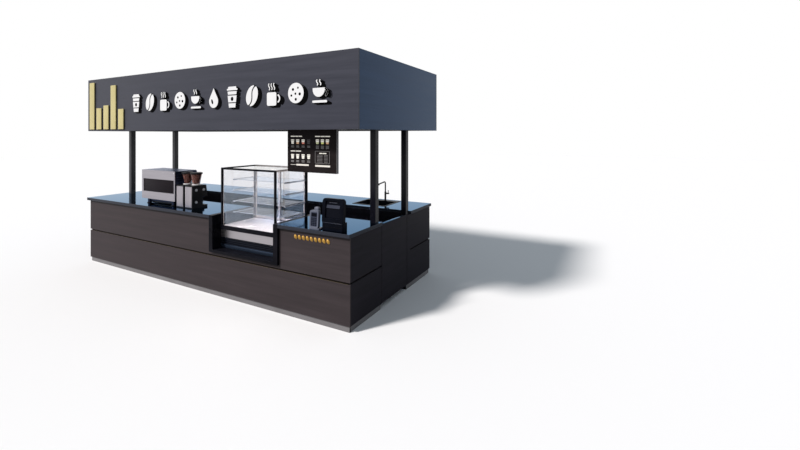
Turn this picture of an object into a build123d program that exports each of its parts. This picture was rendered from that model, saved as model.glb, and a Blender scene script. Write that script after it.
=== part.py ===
# A street kiosk: a ring of hollow counters under a deep box canopy on four posts.
# Millimetres. The origin is on the ground at the middle of the whole footprint,
# +X runs along the serving front to the right, +Y from the front to the back, +Z up.

import math
import os

from build123d import *

os.makedirs("parts", exist_ok=True)

# Worktop ring
worktop_length = 5535
worktop_depth = 2260
worktop_top = 1100
worktop_thickness = 44
worktop_arris = 3

# Counter bodies under the worktop
front_overhang = 34
back_overhang = 31
left_overhang = 42
right_overhang = 15
front_body_depth = 687
back_body_depth = 694
left_body_width = 690
board = 18
groove_middle = 546
groove_height = 22
groove_rail_height = 52
brass_strip_height = 5
brass_strip_depth = 16
plinth_height = 72
plinth_setback = 15
solid_gap = 1

# Posts
post_size = 80
post_wall = 4
post_corner = 6
left_post_inset = 145
front_post_gap = 19
back_post_gap = 21

# Canopy
canopy_right_overhang = 110
canopy_front_setback = 18
canopy_back_setback = 40
canopy_bottom = 2257
canopy_height = 884
ceiling_recess = 12
ceiling_thickness = 12
roof_recess = 30
roof_thickness = 20
canopy_tube = 40

# Staff gate
gate_thickness = 44
gate_arris = 2
gate_top = 1066
gate_bottom = 72
gate_latch_gap = 8
gate_hinge_gap = 7
hinge_radius = 8
hinge_pin_radius = 4
hinge_running_gap = 0.3
hinge_post_gap = 1
hinge_leaf = 3
hinge_leaf_width = 60
hinge_knuckle = 45
hinge_heights = (260, 860)

# Glass display case let into the front counter
case_width = 1260
case_right_inset = 1065
case_cheek = 70
case_bottom = 600
case_front_setback = 140
case_sill = 34
glass_width = 1010
glass_front_setback = 95
glass_rear_gap = 21
glass_top = 1745
glass_thickness = 6
case_bar = 24
deck_top = 958
deck_thickness = 58
deck_tray = 3
steel_panel_height = 115
steel_panel_thickness = 4
louvre_count = 5
louvre_depth = 18
louvre_blade = 7
shelf_count = 4
shelf_thickness = 6
shelf_depth = 380
shelf_arm_width = 14
shelf_arm_height = 12
door_thickness = 10
door_stile = 34
door_overlap = 30
door_gap = 6
door_track_height = 6
door_track_width = 4
door_seat_gap = 0.3

# Espresso machine
machine_width = 850
machine_left_inset = 1375
machine_setback = 150
machine_foot = 80
machine_foot_radius = 24
machine_foot_inset = 112
machine_height = 535
machine_top_depth = 360
machine_nose_depth = 392
machine_nose_height = 400
machine_throat_depth = 236
machine_tray_depth = 500
machine_tray_height = 150
machine_round = 14
machine_panel = 8
inset_side = 50
inset_bottom = 120
inset_height = 193
inset_depth = 5
group_count = 2
group_radius = 34
group_height = 62
basket_radius = 30
basket_height = 28
handle_radius = 13
handle_length = 128
wand_radius = 6
wand_drop = 170
wand_reach = 60
wand_bend = 20
wand_inset = 70

# Coffee grinders
grinder_count = 2
grinder_width = 172
grinder_depth = 250
grinder_height = 335
grinder_gap = 32
grinder_setback = 170
grinder_from_machine = 12
grinder_round = 10
grinder_crown_depth = 230
grinder_throat = 172
grinder_chin = 175
grinder_tray = 34
chute_radius = 19
chute_length = 40
hopper_height = 178
hopper_wall = 4
hopper_neck = 14
hopper_top_radius = 84
hopper_bottom_radius = 50
hopper_lid = 12

# Order terminal and card reader
terminal_width = 300
terminal_depth = 95
terminal_right_inset = 130
terminal_setback = 60
terminal_base_height = 96
terminal_round = 18
terminal_edge_round = 6
screen_width = 300
screen_height = 296
screen_thickness = 48
screen_round = 42
screen_lean = 4
screen_lift = 68
screen_setback = 34
recess_width = 210
recess_height = 198
recess_lift = 20
recess_depth = 14
recess_round = 14
ledge_top = 74
ledge_drop = 40
ledge_lip = 4
neck_width = 200
neck_depth = 80
reader_width = 130
reader_height = 205
reader_thickness = 34
reader_right_inset = 454
reader_setback = 18
reader_lean = 4
reader_round = 24
reader_foot_width = 148
reader_foot_depth = 96
reader_foot_height = 12
reader_foot_lip = 8

# Sink and tap
sink_width = 600
sink_depth = 530
sink_right_inset = 510
sink_back_inset = 70
sink_rim = 4
sink_rim_width = 28
sink_ledge = 95
sink_bowl_depth = 190
sink_round = 24
drain_radius = 45
drain_depth = 5
sink_wall = 8
tap_offset = 35
tap_column_radius = 16
tap_column_height = 145
tap_flange_height = 6
tap_flange_radius = 27
tap_spout_radius = 11
tap_height = 325
tap_reach = 210
tap_bend = 34
tap_drop = 22
nozzle_radius = 13
nozzle_length = 30
tap_running_gap = 0.3
lever_height = 118
lever_housing_radius = 12
lever_housing_length = 42
lever_hub_length = 24
lever_blade = 56
lever_blade_width = 8
lever_blade_depth = 12
lever_blade_round = 2.5

# Menu board under the canopy
menu_width = 775
menu_height = 544
menu_thickness = 42
menu_right_inset = 376
menu_bezel = 14
menu_recess = 3
menu_setback = 270

# Derived places
x_right = (worktop_length + canopy_right_overhang) / 2
x_left = -x_right
y_front = -worktop_depth / 2
y_back = worktop_depth / 2
worktop_right = x_left + worktop_length
worktop_underside = worktop_top - worktop_thickness
body_left = x_left + left_overhang
body_right = worktop_right - right_overhang
body_front = y_front + front_overhang
body_back = y_back - back_overhang
front_body_rear = body_front + front_body_depth
back_body_front = body_back - back_body_depth
left_body_inner = body_left + left_body_width
groove_bottom = groove_middle - groove_height / 2
groove_top = groove_middle + groove_height / 2
left_post = x_left + left_post_inset
right_post = body_right - board - post_size
front_post = front_body_rear - board - front_post_gap - post_size
back_post = back_body_front - back_post_gap - post_size
canopy_front = y_front + canopy_front_setback
canopy_back = y_back - canopy_back_setback
canopy_top = canopy_bottom + canopy_height
ceiling_bottom = canopy_bottom + ceiling_recess
ceiling_top = ceiling_bottom + ceiling_thickness
case_right = worktop_right - case_right_inset
case_left = case_right - case_width
case_middle = (case_left + case_right) / 2
deck_bottom = deck_top - deck_thickness


def slab(x, y, z, mode=Mode.ADD):
    """A square-edged board between two values on each axis."""
    with Locations(((x[0] + x[1]) / 2, (y[0] + y[1]) / 2, (z[0] + z[1]) / 2)):
        Box(x[1] - x[0], y[1] - y[0], z[1] - z[0], mode=mode)


def post_holes(places, z):
    """Square holes that the posts pass through."""
    for x, y in places:
        slab((x, x + post_size), (y, y + post_size), z, mode=Mode.SUBTRACT)


def keep(piece, name):
    """Label a finished piece and write it to its own file."""
    piece.part.label = name
    export_step(piece.part, f"parts/{name}.step")


# Counters

lower_zone = (plinth_height, groove_bottom)
upper_zone = (groove_top, worktop_underside)
side_front_zone = (body_front + board, front_body_rear)
side_back_zone = (back_body_front, body_back - board)
end_board = (body_right - board, body_right)

with BuildPart() as plinth:
    low = (0, plinth_height)
    plinth_left = body_left + plinth_setback
    plinth_right = body_right - plinth_setback
    front_face = body_front + plinth_setback
    back_face = body_back - plinth_setback
    side_front = front_face + board + solid_gap
    side_back = back_face - board - solid_gap
    slab((plinth_left, plinth_right), (front_face, front_face + board), low)
    slab((plinth_left, plinth_right), (back_face - board, back_face), low)
    slab((plinth_left, plinth_left + board), (side_front, side_back), low)
    slab((right_post - board, right_post), (side_front, front_body_rear - board), low)
    slab((right_post - board, right_post), (back_body_front + board, side_back), low)
keep(plinth, "plinth")

with BuildPart() as counter_floors:
    floor_zone = (plinth_height, plinth_height + board)
    whole_run = (body_left + board, body_right - board)
    wing_run = (body_left + board, left_body_inner - board)
    slab(whole_run, (body_front + board, front_body_rear - board), floor_zone)
    wing_reach = (front_body_rear - board + solid_gap, back_body_front + board - solid_gap)
    slab(wing_run, wing_reach, floor_zone)
    slab(whole_run, (back_body_front + board, body_back - board), floor_zone)
    post_holes([(left_post, front_post), (left_post, back_post), (right_post, front_post)], floor_zone)
keep(counter_floors, "counter_floors")

with BuildPart() as front_lower_panel:
    slab((body_left, body_right), (body_front, body_front + board), lower_zone)
keep(front_lower_panel, "front_lower_panel")

with BuildPart() as front_upper_panel:
    slab((body_left, body_right), (body_front, body_front + board), upper_zone)
    slab((case_left, case_right), (body_front, body_front + board),
         (case_bottom, worktop_underside), mode=Mode.SUBTRACT)
keep(front_upper_panel, "front_upper_panel")

with BuildPart() as left_end_panels:
    for zone in (lower_zone, upper_zone):
        slab((body_left, body_left + board), (body_front + board, body_back - board), zone)
keep(left_end_panels, "left_end_panels")

with BuildPart() as back_panels:
    for zone in (lower_zone, upper_zone):
        slab((body_left, body_right), (body_back - board, body_back), zone)
keep(back_panels, "back_panels")

with BuildPart() as right_end_panels:
    for zone in (lower_zone, upper_zone):
        slab(end_board, side_front_zone, zone)
        slab(end_board, side_back_zone, zone)
keep(right_end_panels, "right_end_panels")

with BuildPart() as groove_rails:
    rail_zone = (groove_middle - groove_rail_height / 2, groove_middle + groove_rail_height / 2)
    behind_front = body_front + board
    behind_back = body_back - board
    side_reach = (behind_front + board + solid_gap, behind_back - board - solid_gap)
    behind_left = (body_left + board, body_left + 2 * board)
    behind_right = (body_right - 2 * board, body_right - board)
    slab(whole_run, (behind_front, behind_front + board), rail_zone)
    slab(whole_run, (behind_back - board, behind_back), rail_zone)
    slab(behind_left, side_reach, rail_zone)
    slab(behind_right, (side_reach[0], front_post), rail_zone)
    slab(behind_right, (back_body_front + board, side_reach[1]), rail_zone)
keep(groove_rails, "groove_rails")

with BuildPart() as brass_strip:
    strip_zone = (groove_bottom, groove_bottom + brass_strip_height)
    slab(whole_run, (behind_front - brass_strip_depth, behind_front), strip_zone)
keep(brass_strip, "brass_strip")

with BuildPart() as corner_pilaster:
    slab(end_board, (back_post, back_body_front), (plinth_height, worktop_underside))
keep(corner_pilaster, "corner_pilaster")

with BuildPart() as inner_front_board:
    slab((left_body_inner - board, body_right - board), (front_body_rear - board, front_body_rear),
         (0, worktop_underside))
    slab((case_left, case_right), (front_body_rear - board, front_body_rear),
         (deck_bottom, worktop_underside), mode=Mode.SUBTRACT)
keep(inner_front_board, "inner_front_board")

with BuildPart() as inner_side_boards:
    inner_zone = (0, worktop_underside)
    slab((left_body_inner - board, left_body_inner),
         (front_body_rear, back_body_front - solid_gap), inner_zone)
    slab((left_body_inner - board, body_right - board), (back_body_front, back_body_front + board),
         inner_zone)
keep(inner_side_boards, "inner_side_boards")

# Worktops

top_zone = (worktop_underside, worktop_top)

with BuildPart() as front_worktop:
    slab((x_left, case_left), (y_front, front_body_rear), top_zone)
    slab((case_right, worktop_right), (y_front, front_body_rear), top_zone)
    post_holes([(left_post, front_post), (right_post, front_post)], top_zone)
    chamfer(front_worktop.edges().filter_by(Axis.X).group_by(Axis.Y)[0], worktop_arris)
    for end in (0, -1):
        chamfer(front_worktop.edges().filter_by(Axis.Y).group_by(Axis.X)[end], worktop_arris)
keep(front_worktop, "front_worktop")

with BuildPart() as left_worktop:
    slab((x_left, left_body_inner), (front_body_rear, back_body_front), top_zone)
    post_holes([(left_post, back_post)], top_zone)
    for end in (0, -1):
        chamfer(left_worktop.edges().filter_by(Axis.Y).group_by(Axis.X)[end], worktop_arris)
keep(left_worktop, "left_worktop")

sink_right = worktop_right - sink_right_inset
sink_left = sink_right - sink_width
sink_back = y_back - sink_back_inset
sink_front = sink_back - sink_depth
bowl_x = (sink_left + sink_rim_width, sink_right - sink_rim_width)
bowl_y = (sink_front + sink_rim_width, sink_back - sink_ledge)

bowl_middle = ((bowl_x[0] + bowl_x[1]) / 2, (bowl_y[0] + bowl_y[1]) / 2)
bowl_size = (bowl_x[1] - bowl_x[0], bowl_y[1] - bowl_y[0])
shell_size = (bowl_size[0] + 2 * sink_wall, bowl_size[1] + 2 * sink_wall)

with BuildPart() as back_worktop:
    slab((x_left, worktop_right), (back_body_front, y_back), top_zone)
    for side in (0, -1):
        chamfer(back_worktop.edges().filter_by(Axis.X).group_by(Axis.Y)[side], worktop_arris)
    for end in (0, -1):
        chamfer(back_worktop.edges().filter_by(Axis.Y).group_by(Axis.X)[end], worktop_arris)
    with BuildSketch(Plane.XY.offset(worktop_underside)) as cutout:
        with Locations(bowl_middle):
            RectangleRounded(shell_size[0], shell_size[1], sink_round + sink_wall)
    extrude(amount=worktop_thickness, mode=Mode.SUBTRACT)
keep(back_worktop, "back_worktop")

# Posts


def post_pair(name, x):
    """Two square steel tubes from the ground to the canopy's beams."""
    with BuildPart() as pair:
        with BuildSketch() as section:
            with Locations([(x + post_size / 2, y + post_size / 2) for y in (front_post, back_post)]):
                RectangleRounded(post_size, post_size, post_corner)
                RectangleRounded(post_size - 2 * post_wall, post_size - 2 * post_wall,
                                 post_corner - post_wall, mode=Mode.SUBTRACT)
        extrude(amount=ceiling_top)
    keep(pair, name)


post_pair("left_posts", left_post)
post_pair("right_posts", right_post)

# Canopy

fascia_zone = (canopy_bottom, canopy_top)
inner_x = (x_left + board, x_right - board)
inner_y = (canopy_front + board, canopy_back - board)

with BuildPart() as front_fascia:
    slab((x_left, x_right), (canopy_front, canopy_front + board), fascia_zone)
keep(front_fascia, "front_fascia")

with BuildPart() as back_fascia:
    slab((x_left, x_right), (canopy_back - board, canopy_back), fascia_zone)
keep(back_fascia, "back_fascia")

with BuildPart() as left_fascia:
    slab((x_left, x_left + board), inner_y, fascia_zone)
keep(left_fascia, "left_fascia")

with BuildPart() as right_fascia:
    slab((x_right - board, x_right), inner_y, fascia_zone)
keep(right_fascia, "right_fascia")

with BuildPart() as ceiling:
    slab(inner_x, inner_y, (ceiling_bottom, ceiling_top))
    post_holes([(x, y) for x in (left_post, right_post) for y in (front_post, back_post)],
               (ceiling_bottom, ceiling_top))
keep(ceiling, "ceiling")

roof_top = canopy_top - roof_recess
roof_bottom = roof_top - roof_thickness

with BuildPart() as roof_sheet:
    slab(inner_x, inner_y, (roof_bottom, roof_top))
keep(roof_sheet, "roof_sheet")

with BuildPart() as canopy_frame:
    low_tube = (ceiling_top, ceiling_top + canopy_tube)
    high_tube = (roof_bottom - canopy_tube, roof_bottom)
    stand = (ceiling_top, roof_bottom)
    tube_y = [(inner_y[0], inner_y[0] + canopy_tube), (inner_y[1] - canopy_tube, inner_y[1])]
    tube_x = [(inner_x[0], inner_x[0] + canopy_tube), (inner_x[1] - canopy_tube, inner_x[1])]
    for level in (low_tube, high_tube):
        for y in tube_y:
            slab(inner_x, y, level)
        for x in tube_x:
            slab(x, inner_y, level)
    for x in tube_x:
        for y in tube_y:
            slab(x, y, stand)
    for x in (left_post, right_post):
        slab((x, x + post_size), inner_y, low_tube)
        for y in (front_post, back_post):
            slab((x, x + canopy_tube), (y, y + canopy_tube), stand)
        slab((x, x + canopy_tube), inner_y, high_tube)
keep(canopy_frame, "canopy_frame")

with BuildPart() as menu_board:
    menu_right = worktop_right - menu_right_inset
    menu_front = y_front + menu_setback
    menu_x = (menu_right - menu_width, menu_right)
    menu_y = (menu_front, menu_front + menu_thickness)
    menu_z = (ceiling_bottom - menu_height, ceiling_bottom)
    slab(menu_x, menu_y, menu_z)
    slab((menu_x[0] + menu_bezel, menu_x[1] - menu_bezel), (menu_front, menu_front + menu_recess),
         (menu_z[0] + menu_bezel, menu_z[1] - menu_bezel), mode=Mode.SUBTRACT)
keep(menu_board, "menu_board")

# Staff gate

gate_x = (body_right - gate_thickness, body_right)
gate_y = (front_body_rear + gate_latch_gap, back_post - gate_hinge_gap)
hinge_x = gate_x[0] - hinge_radius
hinge_y = back_post - hinge_radius - hinge_post_gap

with BuildPart() as staff_gate:
    slab(gate_x, gate_y, (gate_bottom, gate_top))
    chamfer(staff_gate.faces().sort_by(Axis.X)[-1].edges(), gate_arris)
keep(staff_gate, "staff_gate")

with BuildPart() as gate_hinge_leaves:
    for z in hinge_heights:
        high = z + hinge_knuckle + hinge_running_gap
        with BuildSketch(Plane.XY.offset(high)) as knuckle:
            with Locations((hinge_x, hinge_y)):
                Circle(hinge_radius)
            with Locations((gate_x[0] - hinge_leaf / 2, hinge_y - hinge_leaf_width / 2)):
                Rectangle(hinge_leaf, hinge_leaf_width)
            with Locations((hinge_x, hinge_y)):
                Circle(hinge_pin_radius + hinge_running_gap, mode=Mode.SUBTRACT)
        extrude(amount=hinge_knuckle)
keep(gate_hinge_leaves, "gate_hinge_leaves")

with BuildPart() as gate_hinge_pins:
    for z in hinge_heights:
        with BuildSketch(Plane.XY.offset(z)) as lower_knuckle:
            with Locations((hinge_x, hinge_y)):
                Circle(hinge_radius)
            with Locations((hinge_x - hinge_leaf_width / 4, back_post - hinge_leaf / 2)):
                Rectangle(hinge_leaf_width / 2, hinge_leaf)
        extrude(amount=hinge_knuckle)
        with BuildSketch(Plane.XY.offset(z + hinge_knuckle)) as pin:
            with Locations((hinge_x, hinge_y)):
                Circle(hinge_pin_radius)
        extrude(amount=hinge_knuckle)
keep(gate_hinge_pins, "gate_hinge_pins")

# Display case

cheek_y = (y_front, front_body_rear - board)
case_inside = (case_left + case_cheek, case_right - case_cheek)
case_face = y_front + case_front_setback
glass_x = (case_middle - glass_width / 2, case_middle + glass_width / 2)
glass_y = (y_front + glass_front_setback, front_body_rear - glass_rear_gap)
steel_bottom = deck_bottom - steel_panel_height

with BuildPart() as case_cheeks:
    slab((case_left, case_inside[0]), cheek_y, (case_bottom, worktop_top))
    slab((case_inside[1], case_right), cheek_y, (case_bottom, worktop_top))
    slab(case_inside, (y_front, case_face), (case_bottom, case_bottom + case_sill))
keep(case_cheeks, "case_cheeks")

with BuildPart() as case_cabinet:
    slab(case_inside, (case_face, front_body_rear - board), (case_bottom, deck_bottom))
    louvre_low = case_bottom + case_sill
    louvre_pitch = (steel_bottom - louvre_low) / (louvre_count + 1)
    slot_height = louvre_pitch - louvre_blade
    with BuildSketch(Plane.YZ.offset(case_inside[0] + case_cheek / 2)) as slots:
        for count in range(louvre_count):
            z = louvre_low + (count + 0.5) * louvre_pitch
            with BuildLine() as slot_outline:
                Polyline((case_face, z), (case_face, z + slot_height),
                         (case_face + louvre_depth, z + slot_height + louvre_depth / 2),
                         (case_face + louvre_depth, z + louvre_depth / 2), close=True)
            make_face()
    extrude(amount=case_inside[1] - case_inside[0] - case_cheek, mode=Mode.SUBTRACT)
keep(case_cabinet, "case_cabinet")

with BuildPart() as case_steel_front:
    slab(case_inside, (case_face - steel_panel_thickness, case_face), (steel_bottom, deck_bottom))
keep(case_steel_front, "case_steel_front")

with BuildPart() as case_deck:
    slab(case_inside, (glass_y[0], front_body_rear), (deck_bottom, deck_top - deck_tray))
keep(case_deck, "case_deck")

bar_x = [(glass_x[0], glass_x[0] + case_bar), (glass_x[1] - case_bar, glass_x[1])]
back_bar = (glass_y[1] - 2 * door_thickness - 3 * door_gap, glass_y[1])
frame_bottom = deck_top - deck_tray
pane_inset = (case_bar - glass_thickness) / 2
shelf_pitch = (glass_top - case_bar - deck_top) / (shelf_count + 1)

with BuildPart() as case_tray:
    slab((bar_x[0][1], bar_x[1][0]), (glass_y[0] + case_bar, back_bar[0]), (frame_bottom, deck_top))
keep(case_tray, "case_tray")

with BuildPart() as case_frame:
    for x in bar_x:
        slab(x, (glass_y[0], glass_y[0] + case_bar), (frame_bottom, glass_top))
        slab(x, back_bar, (frame_bottom, glass_top))
        slab(x, glass_y, (glass_top - case_bar, glass_top))
    slab(glass_x, (glass_y[0], glass_y[0] + case_bar), (glass_top - case_bar, glass_top))
    slab(glass_x, back_bar, (glass_top - case_bar, glass_top))
    door_front_y = back_bar[0] + door_gap
    door_back_y = door_front_y + door_thickness + door_gap
    for count in range(shelf_count):
        height = deck_top + (count + 1) * shelf_pitch
        arm_y = (back_bar[0] - shelf_depth, back_bar[0])
        for x in ((bar_x[0][1] - pane_inset, bar_x[0][1] + shelf_arm_width),
                  (bar_x[1][0] - shelf_arm_width, bar_x[1][0] + pane_inset)):
            slab(x, arm_y, (height - shelf_arm_height, height))
    for y in (door_front_y, door_back_y):
        track_y = y + (door_thickness - door_track_width) / 2
        slab((bar_x[0][1], bar_x[1][0]), (track_y, track_y + door_track_width),
             (frame_bottom, frame_bottom + door_track_height))
keep(case_frame, "case_frame")

with BuildPart() as case_glass:
    pane_z = (frame_bottom, glass_top - case_bar)
    front_pane = (glass_y[0] + pane_inset, glass_y[0] + pane_inset + glass_thickness)
    slab((bar_x[0][1], bar_x[1][0]), front_pane, pane_z)
    for x in bar_x:
        pane = (x[0] + pane_inset, x[0] + pane_inset + glass_thickness)
        slab(pane, (glass_y[0] + case_bar, back_bar[0]), pane_z)
    slab((bar_x[0][1], bar_x[1][0]), (glass_y[0] + case_bar, back_bar[0]),
         (glass_top - case_bar + pane_inset, glass_top - case_bar + pane_inset + glass_thickness))
keep(case_glass, "case_glass")

with BuildPart() as case_shelves:
    for count in range(shelf_count):
        height = deck_top + (count + 1) * shelf_pitch
        slab((bar_x[0][1], bar_x[1][0]), (back_bar[0] - shelf_depth, back_bar[0]),
             (height, height + shelf_thickness))
keep(case_shelves, "case_shelves")

door_z = (frame_bottom + door_track_height + door_seat_gap, glass_top - case_bar - door_gap)
door_width = (bar_x[1][0] - bar_x[0][1] - 2 * door_gap + door_overlap) / 2


def case_door(side, x, y):
    """One sliding door: a slim frame and its pane."""
    with BuildPart() as frame:
        slab((x, x + door_width), (y, y + door_thickness), door_z)
        slab((x + door_stile, x + door_width - door_stile), (y, y + door_thickness),
             (door_z[0] + door_stile, door_z[1] - door_stile), mode=Mode.SUBTRACT)
    keep(frame, f"case_{side}_door")
    with BuildPart() as pane:
        middle = y + door_thickness / 2
        slab((x + door_stile, x + door_width - door_stile),
             (middle - glass_thickness / 2, middle + glass_thickness / 2),
             (door_z[0] + door_stile, door_z[1] - door_stile))
    keep(pane, f"case_{side}_door_glass")


case_door("left", bar_x[0][1] + door_gap, door_front_y)
case_door("right", bar_x[1][0] - door_gap - door_width, door_back_y)

# Espresso machine

machine_x = (x_left + machine_left_inset, x_left + machine_left_inset + machine_width)
machine_y = y_front + machine_setback
machine_base = worktop_top + machine_foot
group_y = machine_y + (machine_throat_depth + machine_nose_depth) / 2
nose_z = worktop_top + machine_nose_height

with BuildPart() as espresso_machine:
    with BuildSketch(Plane.YZ.offset(machine_x[0])) as machine_side:
        with BuildLine() as machine_outline:
            Polyline((machine_y + machine_panel, machine_base),
                     (machine_y + machine_panel, worktop_top + machine_height),
                     (machine_y + machine_top_depth, worktop_top + machine_height),
                     (machine_y + machine_nose_depth, nose_z),
                     (machine_y + machine_throat_depth, nose_z),
                     (machine_y + machine_throat_depth, worktop_top + machine_tray_height),
                     (machine_y + machine_tray_depth, worktop_top + machine_tray_height),
                     (machine_y + machine_tray_depth, machine_base), close=True)
        make_face()
        fillet(machine_side.vertices().sort_by(Axis.X)[2:], machine_round)
    extrude(amount=machine_width)
    foot_x = (machine_x[0] + machine_foot_inset, machine_x[1] - machine_foot_inset)
    foot_y = (machine_y + machine_foot_inset / 2, machine_y + machine_tray_depth - machine_foot_inset / 2)
    with BuildSketch(Plane.XY.offset(worktop_top)) as feet:
        with Locations([(x, y) for x in foot_x for y in foot_y]):
            Circle(machine_foot_radius)
    extrude(amount=machine_foot)
    slab(foot_x, foot_y, (worktop_top + machine_foot / 2, machine_base))
    for count in range(group_count):
        group_x = machine_x[0] + (count + 0.5) * machine_width / group_count
        with BuildSketch(Plane.XY.offset(nose_z)) as group:
            with Locations((group_x, group_y)):
                Circle(group_radius)
        extrude(amount=-group_height)
        with BuildSketch(Plane.XY.offset(nose_z - group_height)) as basket:
            with Locations((group_x, group_y)):
                Circle(basket_radius)
        extrude(amount=-basket_height)
        handle_root = (group_x, group_y, nose_z - group_height - basket_height / 2)
        with BuildSketch(Plane(origin=handle_root, z_dir=(0, 1, 0))) as handle:
            Circle(handle_radius)
        extrude(amount=basket_radius + handle_length)
    for x in (machine_x[0] + wand_inset, machine_x[1] - wand_inset):
        with BuildLine(Plane.YZ.offset(x)) as wand_path:
            FilletPolyline((group_y, nose_z), (group_y, nose_z - wand_drop / 2),
                           (group_y + wand_reach, nose_z - wand_drop), radius=wand_bend)
        with BuildSketch(Plane.XY.offset(nose_z)) as wand:
            with Locations((x, group_y)):
                Circle(wand_radius)
        sweep(path=wand_path.wires()[0])
keep(espresso_machine, "espresso_machine")

with BuildPart() as espresso_back_panel:
    slab(machine_x, (machine_y, machine_y + machine_panel), (machine_base, worktop_top + machine_height))
    slab((machine_x[0] + inset_side, machine_x[1] - inset_side), (machine_y, machine_y + inset_depth),
         (machine_base + inset_bottom, machine_base + inset_bottom + inset_height), mode=Mode.SUBTRACT)
keep(espresso_back_panel, "espresso_back_panel")

# Coffee grinders

grinder_y = y_front + grinder_setback
grinder_top = worktop_top + grinder_height
grinder_starts = [machine_x[1] + grinder_from_machine + count * (grinder_width + grinder_gap)
                  for count in range(grinder_count)]

with BuildPart() as grinders:
    for x in grinder_starts:
        with BuildSketch(Plane.YZ.offset(x)) as grinder_side:
            with BuildLine() as grinder_outline:
                Polyline((grinder_y, worktop_top), (grinder_y, grinder_top),
                         (grinder_y + grinder_crown_depth, grinder_top),
                         (grinder_y + grinder_depth, grinder_top - grinder_chin),
                         (grinder_y + grinder_throat, grinder_top - grinder_chin),
                         (grinder_y + grinder_throat, worktop_top + grinder_tray),
                         (grinder_y + grinder_depth, worktop_top + grinder_tray),
                         (grinder_y + grinder_depth, worktop_top), close=True)
            make_face()
            fillet(grinder_side.vertices().group_by(Axis.Y)[-1], grinder_round)
        extrude(amount=grinder_width)
        with BuildSketch(Plane.XY.offset(grinder_top - grinder_chin)) as chute:
            with Locations((x + grinder_width / 2, grinder_y + (grinder_throat + grinder_depth) / 2)):
                Circle(chute_radius)
        extrude(amount=-chute_length)
keep(grinders, "grinders")

hopper_places = [(x + grinder_width / 2, grinder_y + grinder_depth / 2, grinder_top) for x in grinder_starts]


def turned_pair(name, outline):
    """A lathe-turned shape over each grinder, from half of its outline."""
    with BuildPart() as pair:
        for place in hopper_places:
            with BuildSketch(Plane(origin=place, x_dir=(1, 0, 0), z_dir=(0, -1, 0))) as half_section:
                with BuildLine() as half_outline:
                    Polyline(*outline, close=True)
                make_face()
            revolve(axis=Axis(place, (0, 0, 1)))
    keep(pair, name)


neck_inside = hopper_bottom_radius - hopper_wall
hopper_floor = hopper_neck + hopper_wall
turned_pair("grinder_hoppers",
            [(0, 0), (neck_inside, 0), (neck_inside, hopper_neck), (hopper_bottom_radius, hopper_neck),
             (hopper_top_radius, hopper_height), (hopper_top_radius - hopper_wall, hopper_height),
             (neck_inside, hopper_floor), (0, hopper_floor)])

lid_radius = hopper_top_radius + hopper_wall
lid_top = hopper_height + hopper_lid
turned_pair("hopper_lids",
            [(0, hopper_height), (lid_radius, hopper_height), (lid_radius, hopper_height + hopper_lid / 2),
             (lid_radius - hopper_lid, lid_top), (0, lid_top)])

# Order terminal and card reader

terminal_right = worktop_right - terminal_right_inset
terminal_middle = (terminal_right - terminal_width / 2, y_front + terminal_setback + terminal_depth / 2)
lean = math.radians(screen_lean)
screen_rise = screen_lift + screen_height / 2
screen_root = (terminal_middle[0], y_front + terminal_setback + screen_setback, worktop_top + screen_rise)
screen_plane = Plane(origin=screen_root, x_dir=(1, 0, 0), z_dir=(0, -math.cos(lean), math.sin(lean)))
ledge_plane = Plane(origin=screen_root, x_dir=(0, -math.cos(lean), math.sin(lean)), z_dir=(-1, 0, 0))
recess_floor = screen_thickness / 2 - recess_depth
ledge_front = recess_floor + recess_depth - ledge_lip

with BuildPart() as order_terminal:
    with BuildSketch(Plane.XY.offset(worktop_top)) as terminal_base:
        with Locations(terminal_middle):
            RectangleRounded(terminal_width, terminal_depth, terminal_round)
    extrude(amount=terminal_base_height)
    fillet(order_terminal.edges().group_by(Axis.Z)[-1], terminal_edge_round)
    with BuildSketch(Plane.XY.offset(worktop_top)) as neck:
        with Locations((screen_root[0], screen_root[1] + neck_depth / 2)):
            RectangleRounded(neck_width, neck_depth, terminal_round)
    extrude(amount=screen_rise)
    with BuildSketch(screen_plane) as screen:
        RectangleRounded(screen_width, screen_height, screen_round)
    extrude(amount=screen_thickness / 2, both=True)
    with BuildSketch(screen_plane.offset(recess_floor)) as recess:
        with Locations((0, recess_lift)):
            RectangleRounded(recess_width, recess_height, recess_round)
    extrude(amount=recess_depth, mode=Mode.SUBTRACT)
    with BuildSketch(ledge_plane) as ledge:
        with BuildLine() as ledge_outline:
            Polyline((recess_floor, ledge_top), (ledge_front, ledge_top - ledge_drop),
                     (recess_floor, ledge_top - ledge_drop), close=True)
        make_face()
    extrude(amount=recess_width / 2, both=True)
keep(order_terminal, "order_terminal")

reader_angle = math.radians(reader_lean)
reader_middle = worktop_right - reader_right_inset - reader_width / 2
reader_rise = reader_foot_height + reader_height / 2 * math.cos(reader_angle)
reader_front = y_front + reader_setback + reader_foot_lip
reader_lean_run = reader_height / 2 * math.sin(reader_angle)
reader_y = reader_front + reader_thickness / 2 + reader_lean_run
reader_root = (reader_middle, reader_y, worktop_top + reader_rise)
reader_foot_middle = (worktop_right - reader_right_inset - reader_width + reader_foot_width / 2,
                      y_front + reader_setback + reader_foot_depth / 2)
reader_plane = Plane(origin=reader_root, x_dir=(1, 0, 0),
                     z_dir=(0, -math.cos(reader_angle), math.sin(reader_angle)))

with BuildPart() as card_reader:
    with BuildSketch(Plane.XY.offset(worktop_top)) as reader_foot:
        with Locations(reader_foot_middle):
            RectangleRounded(reader_foot_width, reader_foot_depth, reader_round / 2)
    extrude(amount=reader_foot_height)
    with BuildSketch(reader_plane) as reader_face:
        RectangleRounded(reader_width, reader_height, reader_round)
    extrude(amount=reader_thickness / 2, both=True)
keep(card_reader, "card_reader")

# Sink and tap

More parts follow.
